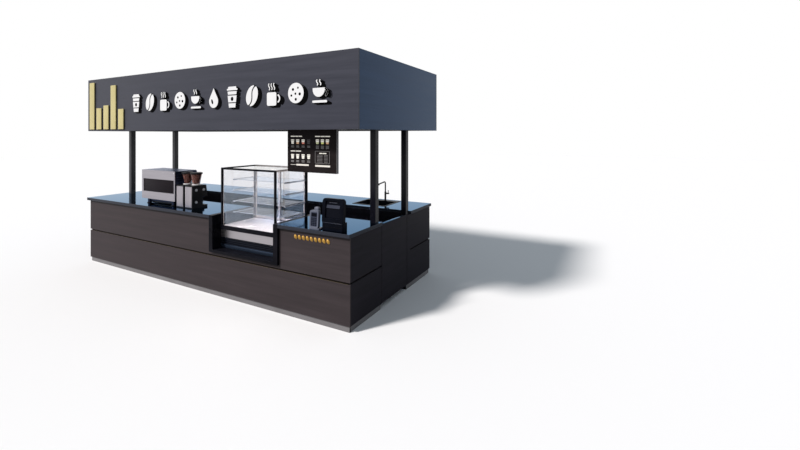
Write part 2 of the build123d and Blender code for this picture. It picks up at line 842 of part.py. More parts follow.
with BuildPart() as sink_basin:
    with BuildSketch(Plane.XY.offset(worktop_top)) as rim:
        with Locations(((sink_left + sink_right) / 2, (sink_front + sink_back) / 2)):
            RectangleRounded(sink_width, sink_depth, sink_round / 2)
    extrude(amount=sink_rim)
    with BuildSketch(Plane.XY.offset(worktop_top)) as shell:
        with Locations(bowl_middle):
            RectangleRounded(shell_size[0], shell_size[1], sink_round + sink_wall)
    extrude(amount=-sink_bowl_depth - sink_wall)
    with BuildSketch(Plane.XY.offset(worktop_top + sink_rim)) as bowl:
        with Locations(bowl_middle):
            RectangleRounded(bowl_size[0], bowl_size[1], sink_round)
    extrude(amount=-sink_bowl_depth - sink_rim, mode=Mode.SUBTRACT)
    with BuildSketch(Plane.XY.offset(worktop_top - sink_bowl_depth)) as drain:
        with Locations(bowl_middle):
            Circle(drain_radius)
    extrude(amount=-drain_depth, mode=Mode.SUBTRACT)
keep(sink_basin, "sink_basin")

tap_x = (sink_left + sink_right) / 2 + tap_offset
tap_y = sink_back - sink_ledge / 2
tap_foot = worktop_top + sink_rim
column_top = tap_foot + tap_column_height
lever_z = tap_foot + lever_height

with BuildPart() as tap_body:
    with BuildSketch(Plane.XY.offset(tap_foot)) as flange:
        with Locations((tap_x, tap_y)):
            Circle(tap_flange_radius)
    extrude(amount=tap_flange_height)
    with BuildSketch(Plane.XY.offset(tap_foot)) as column:
        with Locations((tap_x, tap_y)):
            Circle(tap_column_radius)
    extrude(amount=tap_column_height)
    with BuildSketch(Plane.YZ.offset(tap_x)) as housing:
        with Locations((tap_y, lever_z)):
            Circle(lever_housing_radius)
    extrude(amount=lever_housing_length)
keep(tap_body, "tap_body")

with BuildPart() as tap_spout:
    spout_start = column_top + tap_running_gap
    spout_top = tap_foot + tap_height - tap_spout_radius
    spout_end = spout_top - tap_drop
    with BuildLine(Plane.YZ.offset(tap_x)) as spout_path:
        FilletPolyline((tap_y, spout_start), (tap_y, spout_top),
                       (tap_y - tap_reach, spout_end), radius=tap_bend)
    with BuildSketch(Plane.XY.offset(spout_start)) as spout_section:
        with Locations((tap_x, tap_y)):
            Circle(tap_spout_radius)
    sweep(path=spout_path.wires()[0])
    with BuildSketch(Plane.XY.offset(spout_end + tap_spout_radius)) as nozzle:
        with Locations((tap_x, tap_y - tap_reach)):
            Circle(nozzle_radius)
    extrude(amount=-nozzle_length)
keep(tap_spout, "tap_spout")

with BuildPart() as tap_lever:
    hub_start = tap_x + lever_housing_length + tap_running_gap
    blade_middle = hub_start + lever_hub_length / 2
    with BuildSketch(Plane.YZ.offset(hub_start)) as hub:
        with Locations((tap_y, lever_z)):
            Circle(lever_housing_radius)
    extrude(amount=lever_hub_length)
    with BuildSketch(Plane.XY.offset(lever_z)) as blade:
        with Locations((blade_middle, tap_y)):
            RectangleRounded(lever_blade_width, lever_blade_depth, lever_blade_round)
    extrude(amount=lever_blade)
keep(tap_lever, "tap_lever")
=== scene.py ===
import math

import bmesh
import bpy
from mathutils import Matrix, Vector


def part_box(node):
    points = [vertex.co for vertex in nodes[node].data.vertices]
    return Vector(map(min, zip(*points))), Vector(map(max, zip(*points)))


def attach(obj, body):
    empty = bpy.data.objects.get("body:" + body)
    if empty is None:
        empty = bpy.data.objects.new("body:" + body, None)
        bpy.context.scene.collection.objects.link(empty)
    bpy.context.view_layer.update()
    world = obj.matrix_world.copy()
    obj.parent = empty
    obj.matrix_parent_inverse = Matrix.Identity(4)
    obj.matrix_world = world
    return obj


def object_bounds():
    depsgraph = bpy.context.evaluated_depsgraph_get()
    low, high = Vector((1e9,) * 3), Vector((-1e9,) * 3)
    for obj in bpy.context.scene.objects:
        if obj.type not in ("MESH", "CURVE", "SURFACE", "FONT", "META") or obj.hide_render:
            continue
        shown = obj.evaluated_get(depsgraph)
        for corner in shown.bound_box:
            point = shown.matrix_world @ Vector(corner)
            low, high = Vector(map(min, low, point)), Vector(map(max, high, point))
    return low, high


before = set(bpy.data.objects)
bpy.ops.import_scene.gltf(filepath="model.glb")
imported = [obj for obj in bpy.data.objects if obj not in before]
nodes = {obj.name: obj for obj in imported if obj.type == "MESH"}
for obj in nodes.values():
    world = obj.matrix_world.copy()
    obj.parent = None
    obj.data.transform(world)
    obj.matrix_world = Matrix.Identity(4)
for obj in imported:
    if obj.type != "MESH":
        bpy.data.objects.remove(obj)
cadLow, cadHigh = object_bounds()
print("frame loaded, nodes:", len(nodes))

# Camera at the photograph's viewing angle, in metres and degrees

camera = {
    "place": (5.2235, -4.7116, 2.2022), "turn": 27.748, "focalPixels": 396.82, "horizonRow": 134.24,
    "photoWidth": 800, "photoHeight": 450, "sensor": 36.0, "reach": 200,
}

viewData = bpy.data.cameras.new("kioskCamera")
viewData.sensor_width = camera["sensor"]
viewData.lens = camera["focalPixels"] / camera["photoWidth"] * camera["sensor"]
viewData.shift_y = (camera["horizonRow"] - camera["photoHeight"] / 2) / camera["photoWidth"]
viewData.clip_end = camera["reach"]
kioskCamera = bpy.data.objects.new("kioskCamera", viewData)
kioskCamera.location = camera["place"]
kioskCamera.rotation_euler = (math.radians(90), 0, math.radians(camera["turn"]))
bpy.context.scene.collection.objects.link(kioskCamera)
bpy.context.scene.camera = kioskCamera
bpy.context.scene.view_settings.view_transform = "Standard"

# Helpers for node trees


def fillInputs(tree, node, inputs):
    for key, value in inputs.items():
        socket = node.inputs[key]
        if isinstance(value, bpy.types.NodeSocket):
            tree.links.new(value, socket)
        else:
            socket.default_value = (*value, 1) if socket.type == "RGBA" else value


def addNode(tree, kind, inputs=None, **settings):
    node = tree.nodes.new(kind)
    for key, value in settings.items():
        setattr(node, key, value)
    fillInputs(tree, node, inputs or {})
    return node


def startTree(name, sizes, kind="Geometry", output="Geometry"):
    tree = bpy.data.node_groups.new(name, kind + "NodeTree")
    kinds = {int: "Int", float: "Float", tuple: "Vector"}
    for label, value in sizes.items():
        socket = tree.interface.new_socket(name=label, in_out="INPUT",
                                           socket_type="NodeSocket" + kinds[type(value)])
        socket.default_value = value
    tree.interface.new_socket(name="Result", in_out="OUTPUT", socket_type="NodeSocket" + output)
    return tree, tree.nodes.new("NodeGroupInput").outputs, tree.nodes.new("NodeGroupOutput").inputs["Result"]


def useGroup(tree, group, inputs):
    return addNode(tree, "ShaderNodeGroup", inputs, node_tree=group).outputs[0]


def mathNode(tree, operation, first, second=0.5, clamp=False):
    return addNode(tree, "ShaderNodeMath", {0: first, 1: second}, operation=operation,
                   use_clamp=clamp).outputs[0]


def mapRange(tree, value, low=0.0, high=1.0, toLow=0.0, toHigh=1.0):
    return addNode(tree, "ShaderNodeMapRange", {"Value": value, "From Min": low, "From Max": high,
                                                "To Min": toLow, "To Max": toHigh}).outputs[0]


def mixColours(tree, factor, first, second):
    return addNode(tree, "ShaderNodeMix", {"Factor": factor, "A": first, "B": second},
                   data_type="RGBA").outputs["Result"]


def newMaterial(name):
    material = bpy.data.materials.new(name)
    material.use_nodes = True
    return material, material.node_tree, material.node_tree.nodes["Principled BSDF"]


# Floor, world and lamp

studio = {
    "floorSize": 80.0, "floorSeen": 0.9, "floorBounce": 0.22, "floorRough": 0.9, "floorGloss": 0.1,
    "skyColour": (0.80, 0.90, 1.0), "skyStrength": 0.36, "sunFrom": (-0.42, -0.62, 0.66), "sunStrength": 3.9,
    "sunColour": (1.0, 0.955, 0.93), "sunAngle": 9.0,
}


def shownRays(tree):
    path = addNode(tree, "ShaderNodeLightPath").outputs
    shown = mathNode(tree, "MAXIMUM", path["Is Camera Ray"], path["Is Glossy Ray"])
    return mathNode(tree, "MAXIMUM", shown, path["Is Transmission Ray"])


def makeStage():
    bpy.ops.mesh.primitive_plane_add(size=studio["floorSize"])
    floor = bpy.context.object
    floor.name = "paleFloor"
    material, tree, shader = newMaterial("paleFloor")
    shade = mixColours(tree, shownRays(tree), (studio["floorBounce"],) * 3, (studio["floorSeen"],) * 3)
    fillInputs(tree, shader, {"Base Color": shade, "Roughness": studio["floorRough"],
                              "Specular IOR Level": studio["floorGloss"]})
    floor.data.materials.append(material)

    world = bpy.data.worlds.new("plainWorld")
    world.use_nodes = True
    tree = world.node_tree
    sky = tree.nodes["Background"]
    fillInputs(tree, sky, {"Color": studio["skyColour"], "Strength": studio["skyStrength"]})
    backdrop = addNode(tree, "ShaderNodeBackground", {"Color": (1, 1, 1), "Strength": 1.0})
    both = addNode(tree, "ShaderNodeMixShader", {"Fac": shownRays(tree), 1: sky.outputs[0],
                                                 2: backdrop.outputs[0]})
    tree.links.new(both.outputs[0], tree.nodes["World Output"].inputs["Surface"])
    bpy.context.scene.world = world

    sun = bpy.data.lights.new("softSun", "SUN")
    sun.energy = studio["sunStrength"]
    sun.color = studio["sunColour"]
    sun.angle = math.radians(studio["sunAngle"])
    lamp = bpy.data.objects.new("softSun", sun)
    lamp.rotation_euler = Vector(studio["sunFrom"]).to_track_quat("Z", "Y").to_euler()
    bpy.context.scene.collection.objects.link(lamp)


makeStage()
print("camera, floor and lamp ready")

# Shader groups shared by the finishes

weathering = {
    "streakDetail": 5.0, "streakRough": 0.6, "bevelSamples": 4, "edgeGain": 6.0, "edgeAmount": 0.5,
    "chips": (40.0, 3.0, 0.35, 0.6, 0.45), "clouds": (5.0, 8.0, 0.3, 0.75), "levelFrom": (0.5, 0.95),
    "dustColour": (0.35, 0.33, 0.31),
}


def makeStreaks():
    sizes = {"Stretch": (3.0, 3.0, 3.0), "Contrast": 0.4}
    tree, given, result = startTree("streakMask", sizes, "Shader", "Float")
    place = addNode(tree, "ShaderNodeTexCoord").outputs["Object"]
    spread = addNode(tree, "ShaderNodeVectorMath", {0: place, 1: given["Stretch"]}, operation="MULTIPLY")
    noise = addNode(tree, "ShaderNodeTexNoise", {"Vector": spread.outputs[0], "Scale": 1.0,
                                                 "Detail": weathering["streakDetail"],
                                                 "Roughness": weathering["streakRough"]}).outputs["Fac"]
    half = mathNode(tree, "MULTIPLY", given["Contrast"], 0.5)
    mask = mapRange(tree, noise, mathNode(tree, "SUBTRACT", 0.5, half), mathNode(tree, "ADD", 0.5, half))
    tree.links.new(mask, result)
    return tree


def speckle(tree, scale, detail, low, high, toLow=0.0):
    place = addNode(tree, "ShaderNodeTexCoord").outputs["Object"]
    noise = addNode(tree, "ShaderNodeTexNoise", {"Vector": place, "Scale": scale, "Detail": detail})
    return mapRange(tree, noise.outputs["Fac"], low, high, toLow)


def facingUp(tree):
    facing = addNode(tree, "ShaderNodeNewGeometry").outputs["Normal"]
    return addNode(tree, "ShaderNodeSeparateXYZ", {0: facing}).outputs["Z"]


# Lighter line along edges, broken up by chips: partly wear, partly a painted highlight where edges catch
# light
def makeEdgeWearAndHighlight():
    tree, given, result = startTree("edgeWearAndHighlight", {"Width": 0.003}, "Shader", "Float")
    rounded = addNode(tree, "ShaderNodeBevel", {"Radius": given["Width"]},
                      samples=weathering["bevelSamples"]).outputs[0]
    true = addNode(tree, "ShaderNodeNewGeometry").outputs["Normal"]
    match = addNode(tree, "ShaderNodeVectorMath", {0: rounded, 1: true}, operation="DOT_PRODUCT")
    away = mathNode(tree, "SUBTRACT", 1.0, match.outputs["Value"])
    bent = mathNode(tree, "MULTIPLY", away, weathering["edgeGain"], True)
    chipped = mathNode(tree, "MULTIPLY", bent, speckle(tree, *weathering["chips"]))
    tree.links.new(mathNode(tree, "MULTIPLY", chipped, weathering["edgeAmount"], True), result)
    return tree


def makeDust():
    tree, given, result = startTree("settledDust", {"Amount": 0.3}, "Shader", "Float")
    level = mapRange(tree, facingUp(tree), *weathering["levelFrom"])
    cloud = mathNode(tree, "MULTIPLY", level, speckle(tree, *weathering["clouds"]))
    tree.links.new(mathNode(tree, "MULTIPLY", cloud, given["Amount"], True), result)
    return tree


streakMask = makeStreaks()
edgeWearAndHighlight = makeEdgeWearAndHighlight()
settledDust = makeDust()

# Finishes: linear colour, the second colour that the streaks bring out, the range of roughness, and what
# differs from plainLook. "stretch" is how many streaks a metre on each axis, "grain" the same for relief.

plainLook = dict(stretch=(2, 2, 2), metallic=0.0, specular=0.5, specularTint=(1, 1, 1), coat=0.0, paintedGlow=0.0,
                 wearAndHighlight=None, wearAndHighlightWidth=0.003, dust=0.0, grain=(60, 60, 60), relief=0.0)
boardLook = dict(stretch=(0.9, 0.9, 16), wearAndHighlightWidth=0.005, grain=(6, 6, 260), relief=0.0004, dust=0.25)
panelLook = dict(stretch=(0.8, 0.8, 14), wearAndHighlightWidth=0.005, grain=(5, 5, 240), relief=0.0005)
postLook = dict(stretch=(4, 4, 1.2), wearAndHighlightWidth=0.006, grain=(300, 300, 300), relief=0.0001)
# drinkLook and the cup, menu and paper finishes carry paintedGlow: emission that is painted light
drinkLook = dict(stretch=(60, 60, 20), paintedGlow=0.9)

finishes = {
    "fasciaPanel": ((0.032, 0.034, 0.048), (0.046, 0.048, 0.066), (0.36, 0.48),
        dict(boardLook, specular=0.2, wearAndHighlight=(0.1, 0.1, 0.115))),
    # Right fascia: a bluer metallic copy of fasciaPanel, painted shade and painted sky reflection for the
    # side away from the sun
    "fasciaSidePaintedSky": ((0.016, 0.033, 0.07), (0.026, 0.048, 0.095), (0.3, 0.42),
        dict(boardLook, specular=0.25, metallic=0.5, specularTint=(0.74, 0.85, 1),
             wearAndHighlight=(0.09, 0.11, 0.15))),
    "counterPanel": ((0.036, 0.029, 0.031), (0.054, 0.043, 0.046), (0.5, 0.62),
        dict(panelLook, specular=0.1, wearAndHighlight=(0.14, 0.115, 0.11))),
    # Right end panels, pilaster, gate and inner boards: a darker copy of counterPanel, painted shade for the
    # side away from the sun
    "sidePanelPaintedShade": ((0.009, 0.0085, 0.012), (0.02, 0.018, 0.025), (0.5, 0.62),
        dict(panelLook, specular=0.06, wearAndHighlight=(0.06, 0.055, 0.06))),
    "plinthGrey": ((0.155, 0.146, 0.152), (0.212, 0.204, 0.21), (0.4, 0.6),
        dict(stretch=(3, 3, 3), wearAndHighlight=(0.38, 0.37, 0.38), dust=0.2)),
    "carcassBoard": ((0.06, 0.055, 0.05), (0.09, 0.08, 0.07), (0.6, 0.75), {}),
    "grooveBlack": ((0.003, 0.003, 0.003), (0.006, 0.005, 0.005), (0.5, 0.7), dict(specular=0.05)),
    # Brass strip in the groove, darkened: painted shade on its shaded front
    "brassPaintedShade": ((0.014, 0.011, 0.008), (0.022, 0.017, 0.011), (0.5, 0.6), dict(specular=0.05)),
    "brassTrim": ((0.26, 0.2, 0.12), (0.2, 0.15, 0.08), (0.3, 0.45), dict(stretch=(2, 40, 40), metallic=1)),
    "postBlack": ((0.004, 0.004, 0.007), (0.009, 0.009, 0.014), (0.22, 0.38),
        dict(postLook, specular=0.16, wearAndHighlight=(0.07, 0.07, 0.08))),
    # Left posts: a lighter, glossier copy of postBlack, painted light for the light and reflections they
    # catch
    "postPaintedSheen": ((0.014, 0.014, 0.019), (0.024, 0.024, 0.031), (0.26, 0.42),
        dict(postLook, specular=0.34, wearAndHighlight=(0.08, 0.08, 0.09))),
    "ceilingBlack": ((0.02, 0.02, 0.022), (0.03, 0.03, 0.032), (0.6, 0.8), dict(specular=0.1)),
    "roofMetal": ((0.1, 0.1, 0.105), (0.16, 0.16, 0.165), (0.45, 0.7),
        dict(stretch=(1.5, 1.5, 1.5), dust=0.6, relief=0.0004, grain=(30, 30, 30))),
    "menuBlack": ((0.009, 0.0065, 0.0068), (0.016, 0.012, 0.0125), (0.45, 0.6),
        dict(stretch=(3, 3, 9), specular=0.06, wearAndHighlight=(0.035, 0.03, 0.03))),
    "hingeSteel": ((0.42, 0.42, 0.43), (0.55, 0.55, 0.56), (0.28, 0.42),
        dict(stretch=(20, 20, 200), metallic=1, wearAndHighlight=(0.75, 0.75, 0.76), wearAndHighlightWidth=0.001)),
    "caseBlack": ((0.004, 0.004, 0.006), (0.009, 0.009, 0.013), (0.25, 0.4),
        dict(stretch=(5, 5, 5), specular=0.03, wearAndHighlight=(0.04, 0.04, 0.05), relief=0.0001,
             grain=(300, 300, 300))),
    "louvreGrey": ((0.004, 0.005, 0.009), (0.008, 0.01, 0.017), (0.3, 0.42),
        dict(stretch=(3, 3, 30), specular=0.1, wearAndHighlight=(0.02, 0.025, 0.035), wearAndHighlightWidth=0.002)),
    "caseSteel": ((0.35, 0.33, 0.348), (0.42, 0.395, 0.415), (0.26, 0.36),
        dict(stretch=(1.5, 30, 160), metallic=1, grain=(2, 40, 700), relief=0.00005)),
    "trayWhite": ((0.66, 0.62, 0.64), (0.74, 0.7, 0.72), (0.18, 0.3), dict(stretch=(4, 4, 4), coat=0.2)),
    "doorAluminium": ((0.56, 0.5, 0.49), (0.64, 0.58, 0.56), (0.32, 0.45),
        dict(stretch=(90, 90, 2), metallic=0.6, wearAndHighlight=(0.95, 0.92, 0.9), wearAndHighlightWidth=0.002,
             grain=(500, 500, 6), relief=0.0001)),
    "machineSteel": ((0.33, 0.31, 0.34), (0.4, 0.38, 0.41), (0.3, 0.42),
        dict(stretch=(2, 60, 120), metallic=0.85, wearAndHighlight=(0.7, 0.68, 0.7), wearAndHighlightWidth=0.002,
             grain=(3, 60, 700), relief=0.0002)),
    "machineDark": ((0.02, 0.026, 0.05), (0.04, 0.05, 0.085), (0.2, 0.32),
        dict(stretch=(40, 3, 90), metallic=0.4, specular=0.12, specularTint=(0.5, 0.62, 1),
             wearAndHighlight=(0.16, 0.17, 0.2), grain=(500, 6, 500), relief=0.0001)),
    "machineInset": ((0.0085, 0.006, 0.0085), (0.013, 0.01, 0.013), (0.42, 0.55),
        dict(stretch=(3, 3, 20), specular=0.05)),
    "machineBlack": ((0.006, 0.006, 0.008), (0.012, 0.012, 0.014), (0.3, 0.45),
        dict(stretch=(6, 6, 6), specular=0.18, wearAndHighlight=(0.06, 0.06, 0.07), grain=(400, 400, 400),
             relief=0.0001)),
    "deviceBlack": ((0.002, 0.0025, 0.005), (0.004, 0.005, 0.009), (0.28, 0.4),
        dict(stretch=(8, 8, 8), specular=0.025, wearAndHighlight=(0.012, 0.015, 0.026), wearAndHighlightWidth=0.004,
             grain=(900, 900, 900), relief=0.0001)),
    "deviceGrey": ((0.085, 0.092, 0.125), (0.12, 0.13, 0.17), (0.3, 0.42),
        dict(stretch=(6, 6, 6), specular=0.25, wearAndHighlight=(0.25, 0.27, 0.31), wearAndHighlightWidth=0.004)),
    "sinkBlack": ((0.003, 0.005, 0.008), (0.007, 0.01, 0.016), (0.35, 0.5),
        dict(stretch=(300, 300, 300), specular=0.12, wearAndHighlight=(0.026, 0.032, 0.045), wearAndHighlightWidth=0.004,
             grain=(600, 600, 600), relief=0.0002)),
    "tapBlack": ((0.007, 0.007, 0.009), (0.012, 0.012, 0.014), (0.25, 0.35),
        dict(specular=0.25, wearAndHighlight=(0.07, 0.07, 0.08), wearAndHighlightWidth=0.002)),
    "signWhite": ((0.86, 0.86, 0.87), (0.92, 0.92, 0.92), (0.3, 0.4), dict(stretch=(4, 4, 4))),
    "signBlack": ((0.0015, 0.0015, 0.002), (0.003, 0.003, 0.0035), (0.5, 0.6), dict(specular=0.02)),
    "signGold": ((0.55, 0.47, 0.2), (0.63, 0.55, 0.25), (0.35, 0.5),
        dict(metallic=0.2, wearAndHighlight=(0.82, 0.76, 0.5))),
    "beanGold": ((0.36, 0.19, 0.02), (0.45, 0.25, 0.035), (0.3, 0.4), dict(metallic=0.3)),
    "darkGlass": ((0.002, 0.0025, 0.006), (0.004, 0.005, 0.01), (0.08, 0.14), dict(specular=0.05)),
    "knobWhite": ((0.72, 0.71, 0.71), (0.82, 0.81, 0.81), (0.25, 0.35), {}),
    "coffeeBean": ((0.072, 0.028, 0.023), (0.135, 0.054, 0.044), (0.35, 0.5),
        dict(stretch=(90, 90, 90), specular=0.35)),
    "grinderSteel": ((0.41, 0.385, 0.41), (0.49, 0.46, 0.49), (0.3, 0.42),
        dict(stretch=(200, 60, 3), metallic=0.8, wearAndHighlight=(0.6, 0.58, 0.6), wearAndHighlightWidth=0.0015)),
    "cupPale": ((0.5, 0.48, 0.43), (0.56, 0.54, 0.49), (0.5, 0.6), dict(paintedGlow=0.9)),
    "cupTan": ((0.4, 0.24, 0.14), (0.5, 0.32, 0.2), (0.5, 0.6), drinkLook),
    "cupRed": ((0.36, 0.11, 0.08), (0.46, 0.19, 0.12), (0.5, 0.6), drinkLook),
    "cupDark": ((0.05, 0.045, 0.05), (0.08, 0.07, 0.075), (0.5, 0.6), {}),
    "cupGreen": ((0.36, 0.38, 0.22), (0.46, 0.48, 0.3), (0.5, 0.6), dict(stretch=(60, 60, 20), paintedGlow=0.8)),
    "cupLime": ((0.42, 0.44, 0.14), (0.5, 0.52, 0.2), (0.5, 0.6), dict(stretch=(60, 60, 20), paintedGlow=0.8)),
    "menuGrey": ((0.2, 0.19, 0.19), (0.26, 0.25, 0.25), (0.5, 0.6), dict(specular=0.1, paintedGlow=0.35)),
    "menuEdgePaintedLight": ((0.3, 0.29, 0.29), (0.36, 0.35, 0.35), (0.45, 0.6), dict(specular=0.2)),
    "terminalPale": ((0.022, 0.026, 0.042), (0.034, 0.04, 0.062), (0.25, 0.35), dict(specular=0.15)),
    "readerPale": ((0.1, 0.11, 0.15), (0.14, 0.15, 0.2), (0.25, 0.4), dict(specular=0.25)),
    "readerDark": ((0.03, 0.036, 0.062), (0.045, 0.052, 0.085), (0.25, 0.4), dict(specular=0.12)),
    "shelfTrim": ((0.3, 0.33, 0.4), (0.38, 0.41, 0.48), (0.25, 0.4), {}),
    "railPaintedSky": ((0.03, 0.045, 0.075), (0.05, 0.07, 0.11), (0.22, 0.34),
        dict(stretch=(1.5, 30, 60), metallic=0.6, specular=0.2)),
    "paperPale": ((0.5, 0.47, 0.43), (0.56, 0.53, 0.49), (0.5, 0.6), dict(paintedGlow=0.7)),
}


def makeFinish(name, colour, tone, rough, more):
    look = {**plainLook, **more}
    material, tree, shader = newMaterial(name)
    streaks = useGroup(tree, streakMask, {"Stretch": look["stretch"]})
    shade = mixColours(tree, streaks, colour, tone)
    # Edge colour: partly wear, partly a painted edge highlight
    if look["wearAndHighlight"]:
        shade = mixColours(tree, useGroup(tree, edgeWearAndHighlight, {"Width": look["wearAndHighlightWidth"]}), shade, look["wearAndHighlight"])
    if look["dust"]:
        dust = useGroup(tree, settledDust, {"Amount": look["dust"]})
        shade = mixColours(tree, dust, shade, weathering["dustColour"])
    fillInputs(tree, shader, {
        "Base Color": shade, "Roughness": mapRange(tree, streaks, 0, 1, *rough), "Metallic": look["metallic"],
        "Specular IOR Level": look["specular"], "Specular Tint": look["specularTint"],
        "Coat Weight": look["coat"]})
    # Emission on prints and paper, which are no lamps: painted light that keeps them bright in shade
    if look["paintedGlow"]:
        fillInputs(tree, shader, {"Emission Color": colour, "Emission Strength": look["paintedGlow"]})
    if look["relief"]:
        grain = useGroup(tree, streakMask, {"Stretch": look["grain"], "Contrast": 1.0})
        bump = addNode(tree, "ShaderNodeBump", {"Height": grain, "Distance": look["relief"], "Strength": 0.6})
        tree.links.new(bump.outputs[0], shader.inputs["Normal"])
    return material


stone = {"top": (0.030, 0.045, 0.088), "fleck": (0.048, 0.066, 0.122), "edge": (0.020, 0.022, 0.030),
         "edgeFleck": (0.040, 0.042, 0.054), "skyReflectionTint": (0.58, 0.785, 1.0), "rough": (0.04, 0.10),
         "edgeRough": 0.45, "specular": 0.1, "levelFrom": (0.8, 0.95)}


# Polished upper faces and plain dark cut edges. The upper faces' blue colour, metallic and blue tint are a
# painted sky reflection on the polish.
def makeStone(name):
    material, tree, shader = newMaterial(name)
    flecks = useGroup(tree, streakMask, {"Stretch": (420, 420, 420), "Contrast": 0.25})
    upper = mixColours(tree, flecks, stone["top"], stone["fleck"])
    cut = mixColours(tree, flecks, stone["edge"], stone["edgeFleck"])
    polished = mapRange(tree, facingUp(tree), *stone["levelFrom"])
    haze = useGroup(tree, streakMask, {"Stretch": (4, 4, 4), "Contrast": 0.6})
    gloss = mapRange(tree, haze, 0, 1, *stone["rough"])
    fillInputs(tree, shader, {
        "Base Color": mixColours(tree, polished, cut, upper), "Metallic": polished,
        "Roughness": mapRange(tree, polished, 0, 1, stone["edgeRough"], gloss),
        "Specular IOR Level": stone["specular"], "Specular Tint": stone["skyReflectionTint"]})
    return material


# Tint, index of refraction and the tint of the reflection. The blue reflection tints are a painted sky
# reflection, raised on the door panes by their high index; the hopper's warm one is a painted reflection too.
glasses = {
    "caseGlass": ((0.88, 0.88, 0.895), 1.65, (0.66, 0.82, 1.0)),
    "doorGlass": ((0.88, 0.90, 0.94), 1.9, (0.50, 0.72, 1.0)),
    "shelfGlass": ((0.86, 0.91, 0.98), 1.08, (0.55, 0.75, 1.0)),
    "hopperClear": ((0.88, 0.80, 0.77), 1.2, (1.0, 0.72, 0.66)),
}


def makeGlass(name, tint, bend, paintedReflectionTint):
    material, tree, shader = newMaterial(name)
    fillInputs(tree, shader, {"Base Color": tint, "Roughness": 0.0, "IOR": bend, "Specular Tint": paintedReflectionTint,
                              "Transmission Weight": 1.0})
    clear = addNode(tree, "ShaderNodeBsdfTransparent", {"Color": tint})
    lampRays = addNode(tree, "ShaderNodeLightPath").outputs["Is Shadow Ray"]
    mixed = addNode(tree, "ShaderNodeMixShader", {"Fac": lampRays, 1: shader.outputs[0], 2: clear.outputs[0]})
    tree.links.new(mixed.outputs[0], tree.nodes["Material Output"].inputs["Surface"])
    return material


materials = {name: makeFinish(name, *row) for name, row in finishes.items()}
materials["polishedStone"] = makeStone("polishedStone")
for name, row in glasses.items():
    materials[name] = makeGlass(name, *row)
print("finishes made:", len(materials))

nodeFinishes = {
    "fasciaPanel": "front_fascia back_fascia left_fascia",
    "fasciaSidePaintedSky": "right_fascia",
    "counterPanel": "front_lower_panel front_upper_panel left_end_panels back_panels",
    "sidePanelPaintedShade": "right_end_panels corner_pilaster staff_gate inner_front_board inner_side_boards",
    "plinthGrey": "plinth",
    "carcassBoard": "counter_floors",
    "grooveBlack": "groove_rails",
    "brassPaintedShade": "brass_strip",
    "polishedStone": "front_worktop left_worktop back_worktop",
    "postBlack": "right_posts canopy_frame",
    "postPaintedSheen": "left_posts",
    "ceilingBlack": "ceiling",
    "roofMetal": "roof_sheet",
    "menuBlack": "menu_board",
    "hingeSteel": "gate_hinge_leaves gate_hinge_pins",
    "caseBlack": "case_cheeks case_deck case_frame",
    "louvreGrey": "case_cabinet",
    "caseSteel": "case_steel_front",
    "trayWhite": "case_tray",
    "caseGlass": "case_glass",
    "doorGlass": "case_left_door_glass case_right_door_glass",
    "shelfGlass": "case_shelves",
    "doorAluminium": "case_left_door case_right_door",
    "machineSteel": "espresso_back_panel",
    "machineDark": "espresso_machine",
    "machineBlack": "grinders hopper_lids",
    "hopperClear": "grinder_hoppers",
    "deviceBlack": "order_terminal",
    "deviceGrey": "card_reader",
    "sinkBlack": "sink_basin",
    "tapBlack": "tap_body tap_spout tap_lever",
}
for finish, names in nodeFinishes.items():
    for name in names.split():
        nodes[name].material_slots[0].material = materials[finish]
unfinished = set(nodes) - set(" ".join(nodeFinishes.values()).split())
print("nodes with no finish:", sorted(unfinished))

# Helpers for pieces

creaseAngle = math.radians(32)


def placePiece(name, mesh, finish, body="kiosk", smooth=True):
    piece = bpy.data.objects.new(name, mesh)
    bpy.context.scene.collection.objects.link(piece)
    for part in finish.split():
        mesh.materials.append(materials[part])
    if smooth:
        mesh.polygons.foreach_set("use_smooth", [True] * len(mesh.polygons))
        mesh.set_sharp_from_angle(angle=creaseAngle)
    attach(piece, body)


def placeShape(name, shape, finish, body="kiosk", smooth=True):
    bmesh.ops.recalc_face_normals(shape, faces=shape.faces)
    mesh = bpy.data.meshes.new(name)
    shape.to_mesh(mesh)
    shape.free()
    placePiece(name, mesh, finish, body, smooth)


def addBlock(shape, low, high, bevel, turn=None, steps=2):
    made = bmesh.ops.create_cube(shape, size=1.0)["verts"]
    size = [far - near for near, far in zip(low, high)]
    middle = Vector([(far + near) / 2 for near, far in zip(low, high)])
    bmesh.ops.scale(shape, vec=size, verts=made)
    if turn:
        bmesh.ops.rotate(shape, cent=(0, 0, 0), matrix=turn, verts=made)
    bmesh.ops.translate(shape, vec=middle, verts=made)
    edges = list({edge for vert in made for edge in vert.link_edges})
    bmesh.ops.bevel(shape, geom=edges, offset=bevel, segments=steps, profile=0.5, affect="EDGES")


def placeBlocks(name, blocks, bevel, finish, body="kiosk", steps=2, turn=None):
    shape = bmesh.new()
    for low, high in blocks:
        addBlock(shape, low, high, bevel, turn, steps)
    placeShape(name, shape, finish, body)


# Outlines of radius and height, turned round an axis at their place, in 28 steps or as many as the row says
def placeTurned(name, parts, finish, turn=None):
    shape = bmesh.new()
    for outline, place, *own in parts:
        steps = own[0] if own else 28
        whole = Matrix.Translation(place) @ (turn or Matrix())
        rings = []
        for radius, height in outline:
            angles = [2 * math.pi * count / steps for count in range(steps if radius else 1)]
            rings.append([shape.verts.new(whole @ Vector((radius * math.cos(angle), radius * math.sin(angle),
                                                          height))) for angle in angles])
        for lower, upper in zip(rings, rings[1:]):
            for count in range(steps):
                after = (count + 1) % steps
                corners = [lower[count % len(lower)], lower[after % len(lower)],
                           upper[after % len(upper)], upper[count % len(upper)]]
                corners = list(dict.fromkeys(corners))
                if len(corners) > 2:
                    shape.faces.new(corners)
    placeShape(name, shape, finish)


